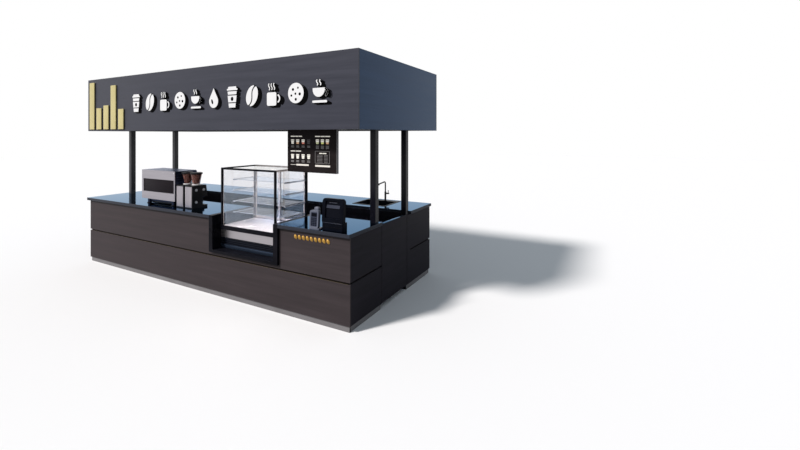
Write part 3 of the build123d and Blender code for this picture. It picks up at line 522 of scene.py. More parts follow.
def roundedRect(left, low, right, high, radius, steps=4):
    centres = ((right - radius, high - radius, 0), (left + radius, high - radius, 90),
               (left + radius, low + radius, 180), (right - radius, low + radius, 270))
    return [(x + radius * math.cos(math.radians(start + 90 * count / steps)),
             z + radius * math.sin(math.radians(start + 90 * count / steps)))
            for x, z, start in centres for count in range(steps + 1)]


def ellipse(x, z, wide, high, turn=0, steps=36):
    points = []
    for count in range(steps):
        angle = 2 * math.pi * count / steps
        across, up = wide * math.cos(angle), high * math.sin(angle)
        points.append((x + across * math.cos(turn) - up * math.sin(turn),
                       z + across * math.sin(turn) + up * math.cos(turn)))
    return points


def ribbon(points, width):
    sides = ([], [])
    for count, point in enumerate(points):
        before = points[max(count - 1, 0)]
        after = points[min(count + 1, len(points) - 1)]
        along = Vector((after[0] - before[0], after[1] - before[1])).normalized()
        sides[0].append((point[0] - along.y * width / 2, point[1] + along.x * width / 2))
        sides[1].append((point[0] + along.y * width / 2, point[1] - along.x * width / 2))
    return sides[0] + sides[1][::-1]


def shifted(outlines, x, z, scale=1.0):
    return [[(x + scale * px, z + scale * pz) for px, pz in outline] for outline in outlines]


# Flat outlines in their own XY plane, raised along Z, then put in place
def cutShape(name, outlines, thickness, bevel, place):
    drawn = bpy.data.curves.new(name, "CURVE")
    drawn.dimensions = "2D"
    drawn.fill_mode = "BOTH"
    drawn.extrude = thickness / 2 - bevel
    drawn.bevel_depth = bevel
    drawn.offset = -bevel
    for outline in outlines:
        spline = drawn.splines.new("POLY")
        spline.points.add(len(outline) - 1)
        for point, (x, z) in zip(spline.points, outline):
            point.co = (x, z, 0, 1)
        spline.use_cyclic_u = True
    holder = bpy.data.objects.new(name, drawn)
    mesh = bpy.data.meshes.new_from_object(holder)
    bpy.data.objects.remove(holder)
    bpy.data.curves.remove(drawn)
    mesh.transform(place @ Matrix.Translation((0, 0, thickness / 2)))
    return mesh


def lifted(height):
    return Matrix.Translation((0, 0, height))


def spin(degrees, axis="X"):
    return Matrix.Rotation(math.radians(degrees), 4, axis)


# The XZ plane at y = back, with its Z axis towards the customer's side
def upright(back):
    return Matrix.Translation((0, back, 0)) @ spin(90)


def placeCuts(place, rows):
    for name, outlines, thickness, bevel, height, finish, slotName in rows:
        mesh = cutShape(name, outlines, thickness, bevel, place @ lifted(height))
        placePiece(name, mesh, finish)


# Node trees that grow what repeats

rowSizes = {"Count": 5, "Start": (0.0, 0.0, 0.0), "Step": (0.1, 0.0, 0.0), "Turn": (0.0, 0.0, 0.0)}


def grown(tree, kind, inputs=None, **settings):
    return addNode(tree, "GeometryNode" + kind, inputs, **settings).outputs[0]


def joined(tree, *parts):
    node = tree.nodes.new("GeometryNodeJoinGeometry")
    for part in parts:
        tree.links.new(part, node.inputs[0])
    return node.outputs[0]


def turnNode(tree, angles):
    return addNode(tree, "FunctionNodeEulerToRotation", {0: angles}).outputs[0]


def vectorOf(tree, **values):
    return addNode(tree, "ShaderNodeCombineXYZ", values).outputs[0]


def alongLine(tree, given, shape, more=None):
    line = grown(tree, "MeshLine", {"Count": given["Count"], "Start Location": given["Start"],
                                    "Offset": given["Step"]}, mode="OFFSET")
    return grown(tree, "InstanceOnPoints", {"Points": line, "Instance": shape,
                                            "Rotation": turnNode(tree, given["Turn"]), **(more or {})})


def endTree(tree, result, geometry):
    tree.links.new(grown(tree, "RealizeInstances", {"Geometry": geometry}), result)
    return tree


def growPiece(name, tree, finish, values, body="kiosk"):
    holder = bpy.data.objects.new(name, bpy.data.meshes.new(name))
    bpy.context.scene.collection.objects.link(holder)
    modifier = holder.modifiers.new("grow", "NODES")
    modifier.node_group = tree
    for item in tree.interface.items_tree:
        if item.item_type == "SOCKET" and item.in_out == "INPUT" and item.name in values:
            modifier[item.identifier] = values[item.name]
    state = bpy.context.evaluated_depsgraph_get()
    mesh = bpy.data.meshes.new_from_object(holder.evaluated_get(state), preserve_all_data_layers=True,
                                           depsgraph=state)
    holder.modifiers.remove(modifier)
    bpy.data.objects.remove(holder)
    mesh.name = name
    mesh.materials.clear()
    placePiece(name, mesh, finish, body)


# A row of bars with rounded long edges. Each stands on its own point; "Fall" makes them differ in height.
def makeBarRow():
    tree, given, result = startTree("barRow", {**rowSizes, "Width": 0.05, "Depth": 0.01, "Length": 0.5,
                                               "Rounding": 0.002, "Fall": 0.0, "Wave": 1.0})
    section = grown(tree, "CurvePrimitiveQuadrilateral", {"Width": given["Width"], "Height": given["Depth"]})
    eased = grown(tree, "FilletCurve", {"Curve": section, "Count": 3, "Radius": given["Rounding"],
                                        "Limit Radius": True}, mode="POLY")
    base = grown(tree, "FillCurve", {"Curve": eased}, mode="NGONS")
    raised = grown(tree, "ExtrudeMesh", {"Mesh": base, "Offset": vectorOf(tree, Z=given["Length"]),
                                         "Individual": False}, mode="FACES")
    bar = joined(tree, raised, grown(tree, "FlipFaces", {"Mesh": base}))
    welded = grown(tree, "MergeByDistance", {"Geometry": bar, "Distance": 0.00001})
    index = grown(tree, "InputIndex")
    swing = mathNode(tree, "SINE", mathNode(tree, "MULTIPLY", index, given["Wave"]))
    fall = mathNode(tree, "MULTIPLY", mathNode(tree, "ABSOLUTE", swing), given["Fall"])
    scale = vectorOf(tree, X=1.0, Y=1.0, Z=mathNode(tree, "SUBTRACT", 1.0, fall))
    return endTree(tree, result, alongLine(tree, given, welded, {"Scale": scale}))


# Screws in a row: a low head with a sunk socket
def makeScrewRow():
    tree, given, result = startTree("screwRow", {**rowSizes, "Radius": 0.006, "Head": 0.002, "Socket": 0.5})

    def raised(mesh, chosen, share):
        return addNode(tree, "GeometryNodeExtrudeMesh", {
            "Mesh": mesh, "Selection": chosen,
            "Offset Scale": mathNode(tree, "MULTIPLY", given["Head"], share)}, mode="FACES").outputs

    head = addNode(tree, "GeometryNodeMeshCylinder", {"Vertices": 20, "Radius": given["Radius"],
                                                      "Depth": given["Head"]}, fill_type="NGON").outputs
    narrow = raised(head["Mesh"], head["Top"], 0.4)
    crown = grown(tree, "ScaleElements", {"Geometry": narrow["Mesh"], "Selection": narrow["Top"],
                                          "Scale": 0.8})
    rim = raised(crown, narrow["Top"], 0.0)
    hole = grown(tree, "ScaleElements", {"Geometry": rim["Mesh"], "Selection": rim["Top"],
                                         "Scale": given["Socket"]})
    return endTree(tree, result, alongLine(tree, given, raised(hole, rim["Top"], -0.8)["Mesh"]))


# One coffee bean: a squashed ball, creased along its flat side
def beanForm(tree, length):
    ball = grown(tree, "MeshUVSphere", {"Segments": 14, "Rings": 9, "Radius": 0.5})
    parts = addNode(tree, "ShaderNodeSeparateXYZ", {0: grown(tree, "InputPosition")}).outputs
    swing = mathNode(tree, "SINE", mathNode(tree, "MULTIPLY", parts["X"], 6.0))
    bend = mathNode(tree, "MULTIPLY", swing, 0.05)
    away = mathNode(tree, "ABSOLUTE", mathNode(tree, "SUBTRACT", parts["Y"], bend))
    crease = mapRange(tree, away, 0.0, 0.16, -0.2, 0.0)
    upper = mathNode(tree, "GREATER_THAN", parts["Z"], 0.1)
    sunk = vectorOf(tree, Z=mathNode(tree, "MULTIPLY", crease, upper))
    creased = grown(tree, "SetPosition", {"Geometry": ball, "Offset": sunk})
    size = addNode(tree, "ShaderNodeVectorMath", {0: (1.0, 0.72, 0.5), "Scale": length}, operation="SCALE")
    return grown(tree, "Transform", {"Geometry": creased, "Scale": size.outputs[0]})


def makeBeanRow():
    tree, given, result = startTree("beanRow", {**rowSizes, "Length": 0.05})
    return endTree(tree, result, alongLine(tree, given, beanForm(tree, given["Length"])))


# Beans strewn over a heap shaped like a cut cone, its narrow end down
def makeBeanHeap():
    tree, given, result = startTree("beanHeap", {
        "Low Radius": 0.046, "High Radius": 0.072, "Depth": 0.14, "Middle": (0.0, 0.0, 0.0), "Length": 0.013,
        "Density": 9000.0, "Seed": 4})
    heap = grown(tree, "MeshCone", {"Vertices": 28, "Side Segments": 3, "Radius Top": given["High Radius"],
                                    "Radius Bottom": given["Low Radius"], "Depth": given["Depth"]})
    moved = grown(tree, "Transform", {"Geometry": heap, "Translation": given["Middle"]})
    strewn = grown(tree, "DistributePointsOnFaces", {"Mesh": moved, "Density": given["Density"],
                                                     "Seed": given["Seed"]})
    loose = addNode(tree, "FunctionNodeRandomValue", {"Min": (-3.1,) * 3, "Max": (3.1,) * 3,
                                                      "Seed": given["Seed"]}, data_type="FLOAT_VECTOR")
    copies = grown(tree, "InstanceOnPoints", {"Points": strewn, "Instance": beanForm(tree, given["Length"]),
                                              "Rotation": turnNode(tree, loose.outputs[0])})
    return endTree(tree, result, joined(tree, moved, copies))


# A ring of short pegs round one middle
def makeRing():
    tree, given, result = startTree("pegRing", {"Count": 12, "Middle": (0.0, 0.0, 0.0), "Ring Radius": 0.03,
                                                "Radius": 0.003, "Height": 0.001})
    ring = grown(tree, "MeshCircle", {"Vertices": given["Count"], "Radius": given["Ring Radius"]})
    moved = grown(tree, "Transform", {"Geometry": ring, "Translation": given["Middle"]})
    peg = grown(tree, "MeshCone", {"Vertices": 14, "Radius Bottom": given["Radius"],
                                   "Radius Top": mathNode(tree, "MULTIPLY", given["Radius"], 0.8),
                                   "Depth": given["Height"]})
    return endTree(tree, result, grown(tree, "InstanceOnPoints", {"Points": moved, "Instance": peg}))


barRow = makeBarRow()
screwRow = makeScrewRow()
beanRow = makeBeanRow()
beanHeap = makeBeanHeap()
pegRing = makeRing()
print("node trees ready")

# Row of plain white pictures along the front canopy board: cups, beans, mugs, a biscuit, a drop

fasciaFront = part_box("front_fascia")[0].y
signDepth = min(fasciaFront - cadLow.y, 0.02)
signRow = {
    "firstX": -1.34, "lastX": 2.31, "low": 2.552, "height": 0.276, "bevel": 0.0015,
    "shade": ((0.013, -0.006, 0.011), (0.026, -0.012, 0.0085), (0.040, -0.018, 0.006),
              (0.054, -0.024, 0.0035)),
    "order": "cup bean mug biscuit bowl drop cup bean mug biscuit bowl".split(),
}


def halfBean(side, tilt=-0.42):
    middle = [(0.075 * math.sin(2 * math.pi * count / 14) + side * 0.03, count / 14 - 0.5)
              for count in range(1, 14)]
    arc = [(side * 0.36 * math.sin(math.pi * count / 18), 0.5 * math.cos(math.pi * count / 18))
           for count in range(1, 18)]
    outline = middle + arc
    return [(x * math.cos(tilt) - z * math.sin(tilt), 0.5 + x * math.sin(tilt) + z * math.cos(tilt))
            for x, z in outline]


def arcPoints(x, z, radius, start, end, steps=12):
    angles = [math.radians(start + (end - start) * count / steps) for count in range(steps + 1)]
    return [(x + radius * math.cos(angle), z + radius * math.sin(angle)) for angle in angles]


def steam(x, low, high):
    return ribbon([(x + 0.035 * math.sin(6.3 * count / 10), low + (high - low) * count / 10)
                   for count in range(11)], 0.055)


pictures = {
    "cup": [
        [(-0.36, 0.82), (0.36, 0.82), (0.36, 0.9), (0.29, 0.91), (0.26, 1.0), (-0.26, 1.0), (-0.29, 0.91),
         (-0.36, 0.9)],
        [(-0.315, 0.775), (0.315, 0.775), (0.29, 0.62), (-0.29, 0.62)],
        [(-0.31, 0.575), (0.31, 0.575), (0.265, 0.25), (-0.265, 0.25)],
        [(-0.25, 0.205), (0.25, 0.205), (0.22, 0.0), (-0.22, 0.0)],
        ellipse(0, 0.41, 0.09, 0.1),
    ],
    "bean": [halfBean(-1), halfBean(1)],
    "mug": [
        roundedRect(-0.38, 0.0, 0.2, 0.6, 0.09), ribbon(arcPoints(0.22, 0.31, 0.17, 72, -72), 0.075),
        steam(-0.24, 0.7, 1.0), steam(-0.09, 0.7, 1.0), steam(0.06, 0.7, 1.0),
    ],
    "biscuit": [
        ellipse(x, z, radius, radius) for x, z, radius in (
            (0, 0.5, 0.44), (-0.16, 0.66, 0.06), (0.12, 0.72, 0.045), (0.22, 0.45, 0.065),
            (-0.02, 0.47, 0.05), (-0.25, 0.4, 0.05), (0.0, 0.23, 0.06))
    ],
    "bowl": [
        [(-0.4, 0.66), (0.24, 0.66)] + arcPoints(-0.08, 0.6, 0.32, 0, -180, 20)[1:-1],
        ribbon(arcPoints(0.2, 0.46, 0.16, 80, -60), 0.07), roundedRect(-0.42, 0.04, 0.36, 0.14, 0.045),
        steam(-0.16, 0.76, 1.0), steam(0.0, 0.76, 1.0),
    ],
    "drop": [
        arcPoints(0, 0.35, 0.33, 150, 390, 28) + [(0.11, 0.8), (0.0, 1.0), (-0.11, 0.8)],
        ellipse(-0.1, 0.33, 0.06, 0.13, 0.35),
    ],
}

pitch = (signRow["lastX"] - signRow["firstX"]) / (len(signRow["order"]) - 1)
for count, picture in enumerate(signRow["order"]):
    x = signRow["firstX"] + count * pitch
    outlines = shifted(pictures[picture], x, signRow["low"], signRow["height"])
    mesh = cutShape("signPicture", outlines, signDepth, signRow["bevel"], upright(fasciaFront))
    for face in mesh.polygons:
        face.material_index = 0 if face.normal.y < -0.7 else 1
    placePiece(f"signPicture{count + 1}", mesh, "signWhite signBlack")
    # Black plates offset right and down behind each picture: they stand for the letters' deeper black returns
    # and are a painted drop shadow on the board
    shape = bmesh.new()
    for right, down, thick in signRow["shade"]:
        mesh = cutShape("signShade", shifted(outlines, right, down), thick, 0.0, upright(fasciaFront))
        shape.from_mesh(mesh)
        bpy.data.meshes.remove(mesh)
    placeShape(f"signShade{count + 1}", shape, "signBlack", smooth=False)
print("sign row made, depth:", round(signDepth, 4))

# Gold bars of differing height at the canopy board's left end, each with a black one behind it, offset right
# and down as a painted drop shadow

uprights = {"count": 5, "firstX": -2.665, "step": 0.222, "low": 2.285, "length": 0.8, "width": 0.150,
            "fall": 0.62, "wave": 1.1,
            "rows": (("goldUprights", "signGold", "brass_trim", 0.0, 0.0, signDepth, 0.002),
                     ("uprightShade", "signBlack", "groove_black", 0.016, -0.008, 0.004, 0.001))}
for name, finish, slotName, right, down, depth, rounding in uprights["rows"]:
    growPiece(name, barRow, finish, {
        "Count": uprights["count"],
        "Start": (uprights["firstX"] + right, fasciaFront - depth / 2, uprights["low"] + down),
        "Step": (uprights["step"], 0, 0), "Width": uprights["width"], "Depth": depth,
        "Length": uprights["length"], "Rounding": rounding, "Fall": uprights["fall"],
        "Wave": uprights["wave"]})

# Thin brass bead in the groove, skirting on the right end, and a stone cap on the gate

trim = {"bead": ((-2.7625, -1.0955, 0.5350), (2.6795, -1.0925, 0.5362)), "skirtX": (2.6797, 2.6825),
        "skirtTop": 0.072, "skirtRuns": ((-1.081, -0.410), (0.304, 1.084)), "capInset": 0.001,
        "capShort": 0.003, "capThick": 0.003}
placeBlocks("grooveBead", [trim["bead"]], 0.0008, "brassTrim")
placeBlocks("rightSkirting", [((trim["skirtX"][0], near, 0.0), (trim["skirtX"][1], far, trim["skirtTop"]))
                              for near, far in trim["skirtRuns"]], 0.0006, "plinthGrey")
gateLow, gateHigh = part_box("staff_gate")
placeBlocks("gateCap", [((gateLow.x + trim["capInset"], gateLow.y + trim["capInset"], gateHigh.z),
                         (gateHigh.x - trim["capShort"], gateHigh.y - trim["capInset"],
                          gateHigh.z + trim["capThick"]))],
            0.001, "polishedStone", "gate")

# Gold beans along the front's right panel

beanLine = {"count": 9, "firstX": 1.915, "step": 0.0605, "height": 0.979, "length": 0.062, "lean": 1.0}
growPiece("goldBeans", beanRow, "beanGold", {
    "Count": beanLine["count"],
    "Start": (beanLine["firstX"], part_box("front_upper_panel")[0].y, beanLine["height"]),
    "Step": (beanLine["step"], 0, 0), "Length": beanLine["length"],
    "Turn": (math.pi / 2, beanLine["lean"], 0)})

# What the menu board shows: cups in rows, plain bars and a framed panel

menu = {
    "face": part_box("menu_board")[0].y + 0.003, "thickness": 0.0025, "cupHigh": 0.066,
    "rows": ((2.080, (1.644, 1.729, 1.818, 1.908), ("cupPale", "cupTan", "cupRed", "cupDark")),
             (1.893, (1.644, 1.729, 1.818, 1.908), ("cupPale",) * 4),
             (2.082, (2.046, 2.124, 2.200), ("cupGreen", "cupLime", "cupTan"))),
    "cup": [(-0.27, 0.0), (0.27, 0.0), (0.31, 0.30), (-0.31, 0.30)],
    "lid": [[(-0.315, 0.33), (0.315, 0.33), (0.355, 0.62), (-0.355, 0.62)],
            [(-0.4, 0.68), (0.4, 0.68), (0.34, 0.86), (-0.34, 0.86)]],
    "heads": ((1.613, 1.682, 2.176), (1.690, 1.742, 2.176), (1.750, 1.800, 2.176), (1.613, 1.690, 1.989),
              (1.698, 1.785, 1.989), (2.010, 2.090, 2.175), (2.098, 2.160, 2.175), (2.168, 2.241, 2.175),
              (2.075, 2.125, 1.967), (2.131, 2.185, 1.967)),
    "prices": ((2.054, 2.040, 1.868, 1.853), (2.057, 2.043, 2.029)), "priceHalf": 0.024,
    "strips": ((1.707, 1.806, 1.908, 1.826, 0.003), (1.613, 1.813, 1.699, 1.818, 0.002),
               (2.012, 1.801, 2.241, 1.823, 0.003)),
    "frame": ((2.010, 1.842, 2.2335, 1.995, 0.004), (2.0135, 1.8455, 2.230, 1.9915, 0.003)),
    "listRows": (1.945, 1.928, 1.911, 1.894, 1.877, 1.860), "listColumns": ((2.040, 2.125), (2.150, 2.205)),
}


def addFlat(name, outlines, finish):
    mesh = cutShape(name, outlines, menu["thickness"], 0.0, upright(menu["face"]))
    placePiece(name, mesh, finish, smooth=False)


def barsOf(spans, half, radius):
    return [roundedRect(left, height - half, right, height + half, radius) for left, right, height in spans]


for row, (low, places, drinks) in enumerate(menu["rows"]):
    for count, (x, drink) in enumerate(zip(places, drinks)):
        addFlat(f"menuDrink{row}{count}", shifted([menu["cup"]], x, low, menu["cupHigh"]), drink)
        addFlat(f"menuLid{row}{count}", shifted(menu["lid"], x, low, menu["cupHigh"]),
                "cupPale" if drink != "cupDark" else "cupDark")
prices = [(x - menu["priceHalf"], x + menu["priceHalf"], height)
          for row, heights in zip((0, 2), menu["prices"]) for x in menu["rows"][row][1] for height in heights]
addFlat("menuHeads", barsOf(menu["heads"], 0.0062, 0.003), "cupPale")
addFlat("menuPrices", barsOf(prices, 0.0035, 0.003), "menuGrey")
addFlat("menuStrips", [roundedRect(*strip) for strip in menu["strips"]], "paperPale")
addFlat("menuFrame", [roundedRect(*line) for line in menu["frame"]], "menuGrey")
addFlat("menuList", barsOf([(left, right, height) for height in menu["listRows"]
                            for left, right in menu["listColumns"]], 0.002, 0.0015), "menuGrey")
print("menu board filled")

# Paler rim on the board's right side: painted light on that shaded side

boardRim = {"wide": 0.002, "back": 0.0005, "top": 2.256}
boardLow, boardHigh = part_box("menu_board")
placeBlocks("menuEdges", [((boardHigh.x, boardLow.y + boardRim["back"], boardLow.z),
                           (boardHigh.x + boardRim["wide"], boardHigh.y, boardRim["top"]))],
            0.0004, "menuEdgePaintedLight")

# Espresso machine: dark inset plate and its flange, pan, feet

machineLow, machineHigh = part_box("espresso_back_panel")
worktopTop = 1.1
machine = {
    "insetSide": 0.05, "insetLow": 0.12, "insetHigh": 0.313, "insetBack": 0.005, "plate": 0.003,
    "gap": 0.0005, "flange": (0.045, 0.022, 0.116, 0.317), "flangeY": (-0.0012, 0.0004),
    "feetX": (0.112, 0.738), "feetY": (0.056, 0.444), "groupX": (0.2125, 0.6375),
    "pan": ((0.085, 0.075, 0.008), (0.820, 0.400, 0.0405)), "screws": 4, "screwInset": (0.025, 0.03),
    "screwStep": 0.2667,
    "foot": [(0, 0), (0.032, 0), (0.034, 0.002), (0.034, 0.008), (0.028, 0.013), (0.024, 0.014),
             (0.0245, 0.014)],
}


def makeMachineParts():
    left, right, base = machineLow.x, machineHigh.x, machineLow.z
    backs, inner, gap = machineLow.y + machine["insetBack"], machine["insetSide"], machine["gap"]
    inLow, inHigh = base + machine["insetLow"], base + machine["insetHigh"]
    placeBlocks("machineInset", [((left + inner + gap, backs - machine["plate"], inLow + gap),
                                  (right - inner - gap, backs, inHigh - gap))],
                0.001, "machineInset")
    start, rest, foot, head = machine["flange"]
    near, far = left + start, right - rest
    front, rear = (machineLow.y + y for y in machine["flangeY"])
    sides = ((near, base + foot, far, inLow), (near, inHigh, far, base + head),
             (near, inLow, left + inner, inHigh), (right - inner, inLow, far, inHigh))
    placeBlocks("machineFlange", [((x0, front, z0), (x1, rear, z1)) for x0, z0, x1, z1 in sides],
                0.0003, "machineInset", steps=1)
    pan = [(left + x, machineLow.y + y, worktopTop + z) for x, y, z in machine["pan"]]
    placeBlocks("machinePan", [pan], 0.006, "machineBlack", steps=3)
    placeTurned("machineFeet", [(machine["foot"], (left + x, machineLow.y + y, worktopTop))
                                for x in machine["feetX"] for y in machine["feetY"]],
                "machineBlack")


# Staff's side: a control strip on the sloped nose, tray slats, handle grips and spouts

staff = {
    "strip": (0.39, 0.050, 0.002), "slope": (-0.604, 1.5675), "lean": 76.7, "sunk": 0.0003,
    "buttons": (-0.052, -0.018, 0.018, 0.052), "slats": 38, "slatStep": 0.0205, "trayY": (-0.738, -0.488),
    "trayTop": 1.25, "trayHigh": 0.0055, "trayMargin": 0.014, "trayLip": (0.004, 0.006, 0.008),
    "groupY": -0.666, "basketLow": 1.410, "handleZ": 1.424, "handleY": -0.604,
    "grip": [(0.0, 0.0), (0.0142, 0.0), (0.0165, 0.004), (0.0155, 0.030), (0.0168, 0.062), (0.0172, 0.084),
             (0.0135, 0.096), (0.0, 0.099)],
    "spouts": [([(0.0, 0.0005), (0.020, 0.0005), (0.020, -0.006), (0.013, -0.011), (0.0, -0.011)], 0, 28)] + [
        ([(0.0, -0.010), (0.0058, -0.010), (0.0058, -0.024), (0.0048, -0.030), (0.0, -0.030)], aside, 16)
        for aside in (-0.009, 0.009)],
}


def makeStaffSide():
    left, right = machineLow.x, machineHigh.x
    middle = (left + right) / 2
    slope = Matrix.Translation((middle, *staff["slope"])) @ spin(180, "Z") @ spin(staff["lean"])
    wide, high, thick = staff["strip"]
    face = thick - staff["sunk"]
    dots = [ellipse(middle - left - group + x, 0.0, 0.0105, 0.0105, steps=20)
            for group in machine["groupX"] for x in staff["buttons"]]
    needle = [ribbon([(0.006, -0.005), (-0.014, 0.013)], 0.0022), ellipse(0, 0, 0.004, 0.004)]
    placeCuts(slope, (
        ("machineStrip", [roundedRect(-wide, -high, wide, high, 0.012, 5)], thick, 0.0007, 0.0,
         "machineBlack", "machine_dark"),
        ("machineButtons", dots, 0.004, 0.0014, face, "knobWhite", "case_white"),
        ("gaugeRing", [ellipse(0, 0, radius, radius) for radius in (0.030, 0.0255)], 0.007, 0.0018, face,
         "hingeSteel", "machine_steel"),
        ("gaugeDial", [ellipse(0, 0, 0.0253, 0.0253)], 0.003, 0.0, face, "knobWhite", "case_white"),
        ("gaugeNeedle", needle, 0.001, 0.0, face + 0.003, "machineBlack", "machine_dark")))

    start = middle - staff["slatStep"] * (staff["slats"] - 1) / 2
    near, far = staff["trayY"]
    growPiece("traySlats", barRow, "hingeSteel", {
        "Count": staff["slats"], "Start": (start, (near + far) / 2, staff["trayTop"]),
        "Step": (staff["slatStep"], 0, 0), "Width": 0.007, "Depth": far - near, "Length": 0.004,
        "Rounding": 0.002})
    low, top = staff["trayTop"], staff["trayTop"] + staff["trayHigh"]
    x0, x1 = start - staff["trayMargin"], -start + 2 * middle + staff["trayMargin"]
    out, inward, side = staff["trayLip"]
    sides = ((x0, near - out, x1, near + inward), (x0, far - inward, x1, far + out),
             (x0, near, x0 + side, far), (x1 - side, near, x1, far))
    placeBlocks("trayFrame", [((left, front, low), (right, back, top)) for left, front, right, back in sides],
                0.0012, "hingeSteel")

    groups = [machineLow.x + x for x in machine["groupX"]]
    placeTurned("handleGrips", [(staff["grip"], (x, staff["handleY"], staff["handleZ"])) for x in groups],
                "machineBlack", spin(-90))
    placeTurned("filterSpouts", [(outline, (x + aside, staff["groupY"], staff["basketLow"]), steps)
                                 for x in groups for outline, aside, steps in staff["spouts"]],
                "hingeSteel")


makeMachineParts()
makeStaffSide()
across, down = machine["screwInset"]
growPiece("machineScrews", screwRow, "hingeSteel", {
    "Count": machine["screws"], "Start": (machineLow.x + across, machineLow.y, machineHigh.z - down),
    "Step": (machine["screwStep"], 0, 0), "Radius": 0.006, "Head": 0.002, "Turn": (math.pi / 2, 0, 0)})

# Grinders: ribbed steel fronts, round knobs, filter forks, collars, hopper skirts and the beans

grinderLow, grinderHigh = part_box("grinders")
grinder = {
    "width": 0.172, "frontX": 0.016, "frontWide": 0.140, "frontLow": 0.022, "frontHigh": 0.313, "ribs": 5,
    "ribWide": 0.0225, "rim": (0.004, 0.005), "rimY": (-0.005, 0.001),
    "knobs": ((0.064, 0.268), (0.064, 0.089), (0.186, 0.266)), "hopperY": -0.835,
    "throat": 0.172, "forkHeight": 0.075, "heapLift": 0.026,
    "forkPlate": ((-0.048, -0.001, -0.014), (0.048, 0.010, 0.022)),
    "prongs": ((-0.039, -0.031), (0.031, 0.039)), "prongY": (0.009, 0.062), "prongZ": (-0.006, 0.002),
    "knob": [(0.020, 0), (0.020, 0.003), (0.017, 0.004), (0.017, 0.010), (0.014, 0.013), (0, 0.0135)],
    "collar": [(0.046, 0.0), (0.060, 0.0), (0.062, 0.003), (0.062, 0.010), (0.057, 0.014), (0.0505, 0.016),
               (0.0505, 0.0135), (0.046, 0.0135), (0.046, 0.0)],
    "skirt": [(0.0820, 0.166), (0.0835, 0.165), (0.0868, 0.168), (0.0877, 0.178), (0.0845, 0.178)],
}


def makeGrinder(number, start):
    left, right = start + grinder["frontX"], start + grinder["frontX"] + grinder["frontWide"]
    low, high = grinderLow.z + grinder["frontLow"], grinderLow.z + grinder["frontHigh"]
    ribStep = grinder["frontWide"] / grinder["ribs"]
    growPiece(f"grinderRibs{number}", barRow, "grinderSteel", {
        "Count": grinder["ribs"], "Start": (left + ribStep / 2, grinderLow.y - 0.001, low),
        "Step": (ribStep, 0, 0), "Width": grinder["ribWide"], "Depth": 0.012,
        "Length": grinder["frontHigh"] - grinder["frontLow"], "Rounding": 0.004})
    side, end = grinder["rim"]
    sides = ((left - side, low - end, right + side, low), (left - side, high, right + side, high + end),
             (left - side, low, left, high), (right, low, right + side, high))
    front, back = (grinderLow.y + y for y in grinder["rimY"])
    placeBlocks(f"grinderFront{number}", [((x0, front, z0), (x1, back, z1)) for x0, z0, x1, z1 in sides],
                0.001, "grinderSteel")
    knobs = [(grinder["knob"], (start + grinder["width"], grinderLow.y + y, grinderLow.z + z))
             for y, z in grinder["knobs"]]
    placeTurned(f"grinderKnobs{number}", knobs, "knobWhite", spin(90, "Y"))
    x, y, z = start + grinder["width"] / 2, grinder["hopperY"], grinderHigh.z
    throatY, forkZ = grinderLow.y + grinder["throat"], grinderLow.z + grinder["forkHeight"]
    shape = bmesh.new()
    plate = [(x + across, throatY + along, forkZ + up) for across, along, up in grinder["forkPlate"]]
    addBlock(shape, *plate, 0.002)
    for sides in grinder["prongs"]:
        prong = [(x + across, throatY + along, forkZ + up)
                 for across, along, up in zip(sides, grinder["prongY"], grinder["prongZ"])]
        addBlock(shape, *prong, 0.0025, steps=3)
    placeShape(f"grinderFork{number}", shape, "hingeSteel")
    placeTurned(f"grinderCollar{number}", [(grinder["collar"], (x, y, z))], "knobWhite")
    placeTurned(f"hopperSkirt{number}", [(grinder["skirt"], (x, y, z), 36)], "machineBlack")
    growPiece(f"hopperBeans{number}", beanHeap, "coffeeBean", {
        "Middle": (x, y, z + grinder["heapLift"]), "Low Radius": 0.040, "High Radius": 0.0715, "Depth": 0.143,
        "Density": 7500.0, "Seed": 4 + number})


makeGrinder(1, grinderLow.x)
makeGrinder(2, grinderHigh.x - grinder["width"])
print("machine and grinders dressed")

# Order terminal: front arch round a recess with a sloped ledge, the staff's screen, printer and seams. Its
# pieces are laid out on the leaning screen: X to the right, Y up and Z towards the customer.

terminal = {
    "centre": (2.4325, -1.036, 1.316), "lean": 4.0, "thick": 0.048, "recess": 0.014, "neckTop": 1.316,
    "neckRear": -0.956, "ledge": (0.054, 0.005, 0.010, 0.040), "holes": 7, "holeStep": 0.016,
    "lids": ((0.074, -0.046, -0.008, -0.001, 0.004), (0.066, -0.0065, 0.0015, -0.060, -0.012)),
    "tiles": (5, 2), "tileStep": (0.046, 0.048), "paperHalf": 0.029, "paperThick": 0.0006,
    "paper": ((0.0, 0.0), (0.0, 0.018), (0.002, 0.030), (0.008, 0.040)), "paperFrom": (-0.027, 0.003),
    "seams": (((-0.128, -1.0715, 1.136), (0.128, -1.0695, 1.1395), 0.0004),
              ((0.060, -1.0720, 1.156), (0.118, -1.0695, 1.1585), 0.0006)),
    "band": ((-0.132, -1.0725, 1.1845), (0.132, -1.0645, 1.1905)),
}
terminalPlace = Matrix.Translation(terminal["centre"]) @ spin(90 - terminal["lean"])
face = terminal["thick"] / 2
recess = face - terminal["recess"]
ledgeUp, ledgeOut, rise, run = terminal["ledge"]
ledgeTilt = Matrix.Translation((0, ledgeUp, ledgeOut)) @ Matrix.Rotation(-math.atan2(rise, run), 4, "X")


# Rounded rectangles in columns and rows, from the first one's sides
def tiled(left, low, right, high, radius, counts, steps, rounding=4):
    return [roundedRect(left + column * steps[0], low + row * steps[1], right + column * steps[0],
                        high + row * steps[1], radius, rounding)
            for column in range(counts[0]) for row in range(counts[1])]


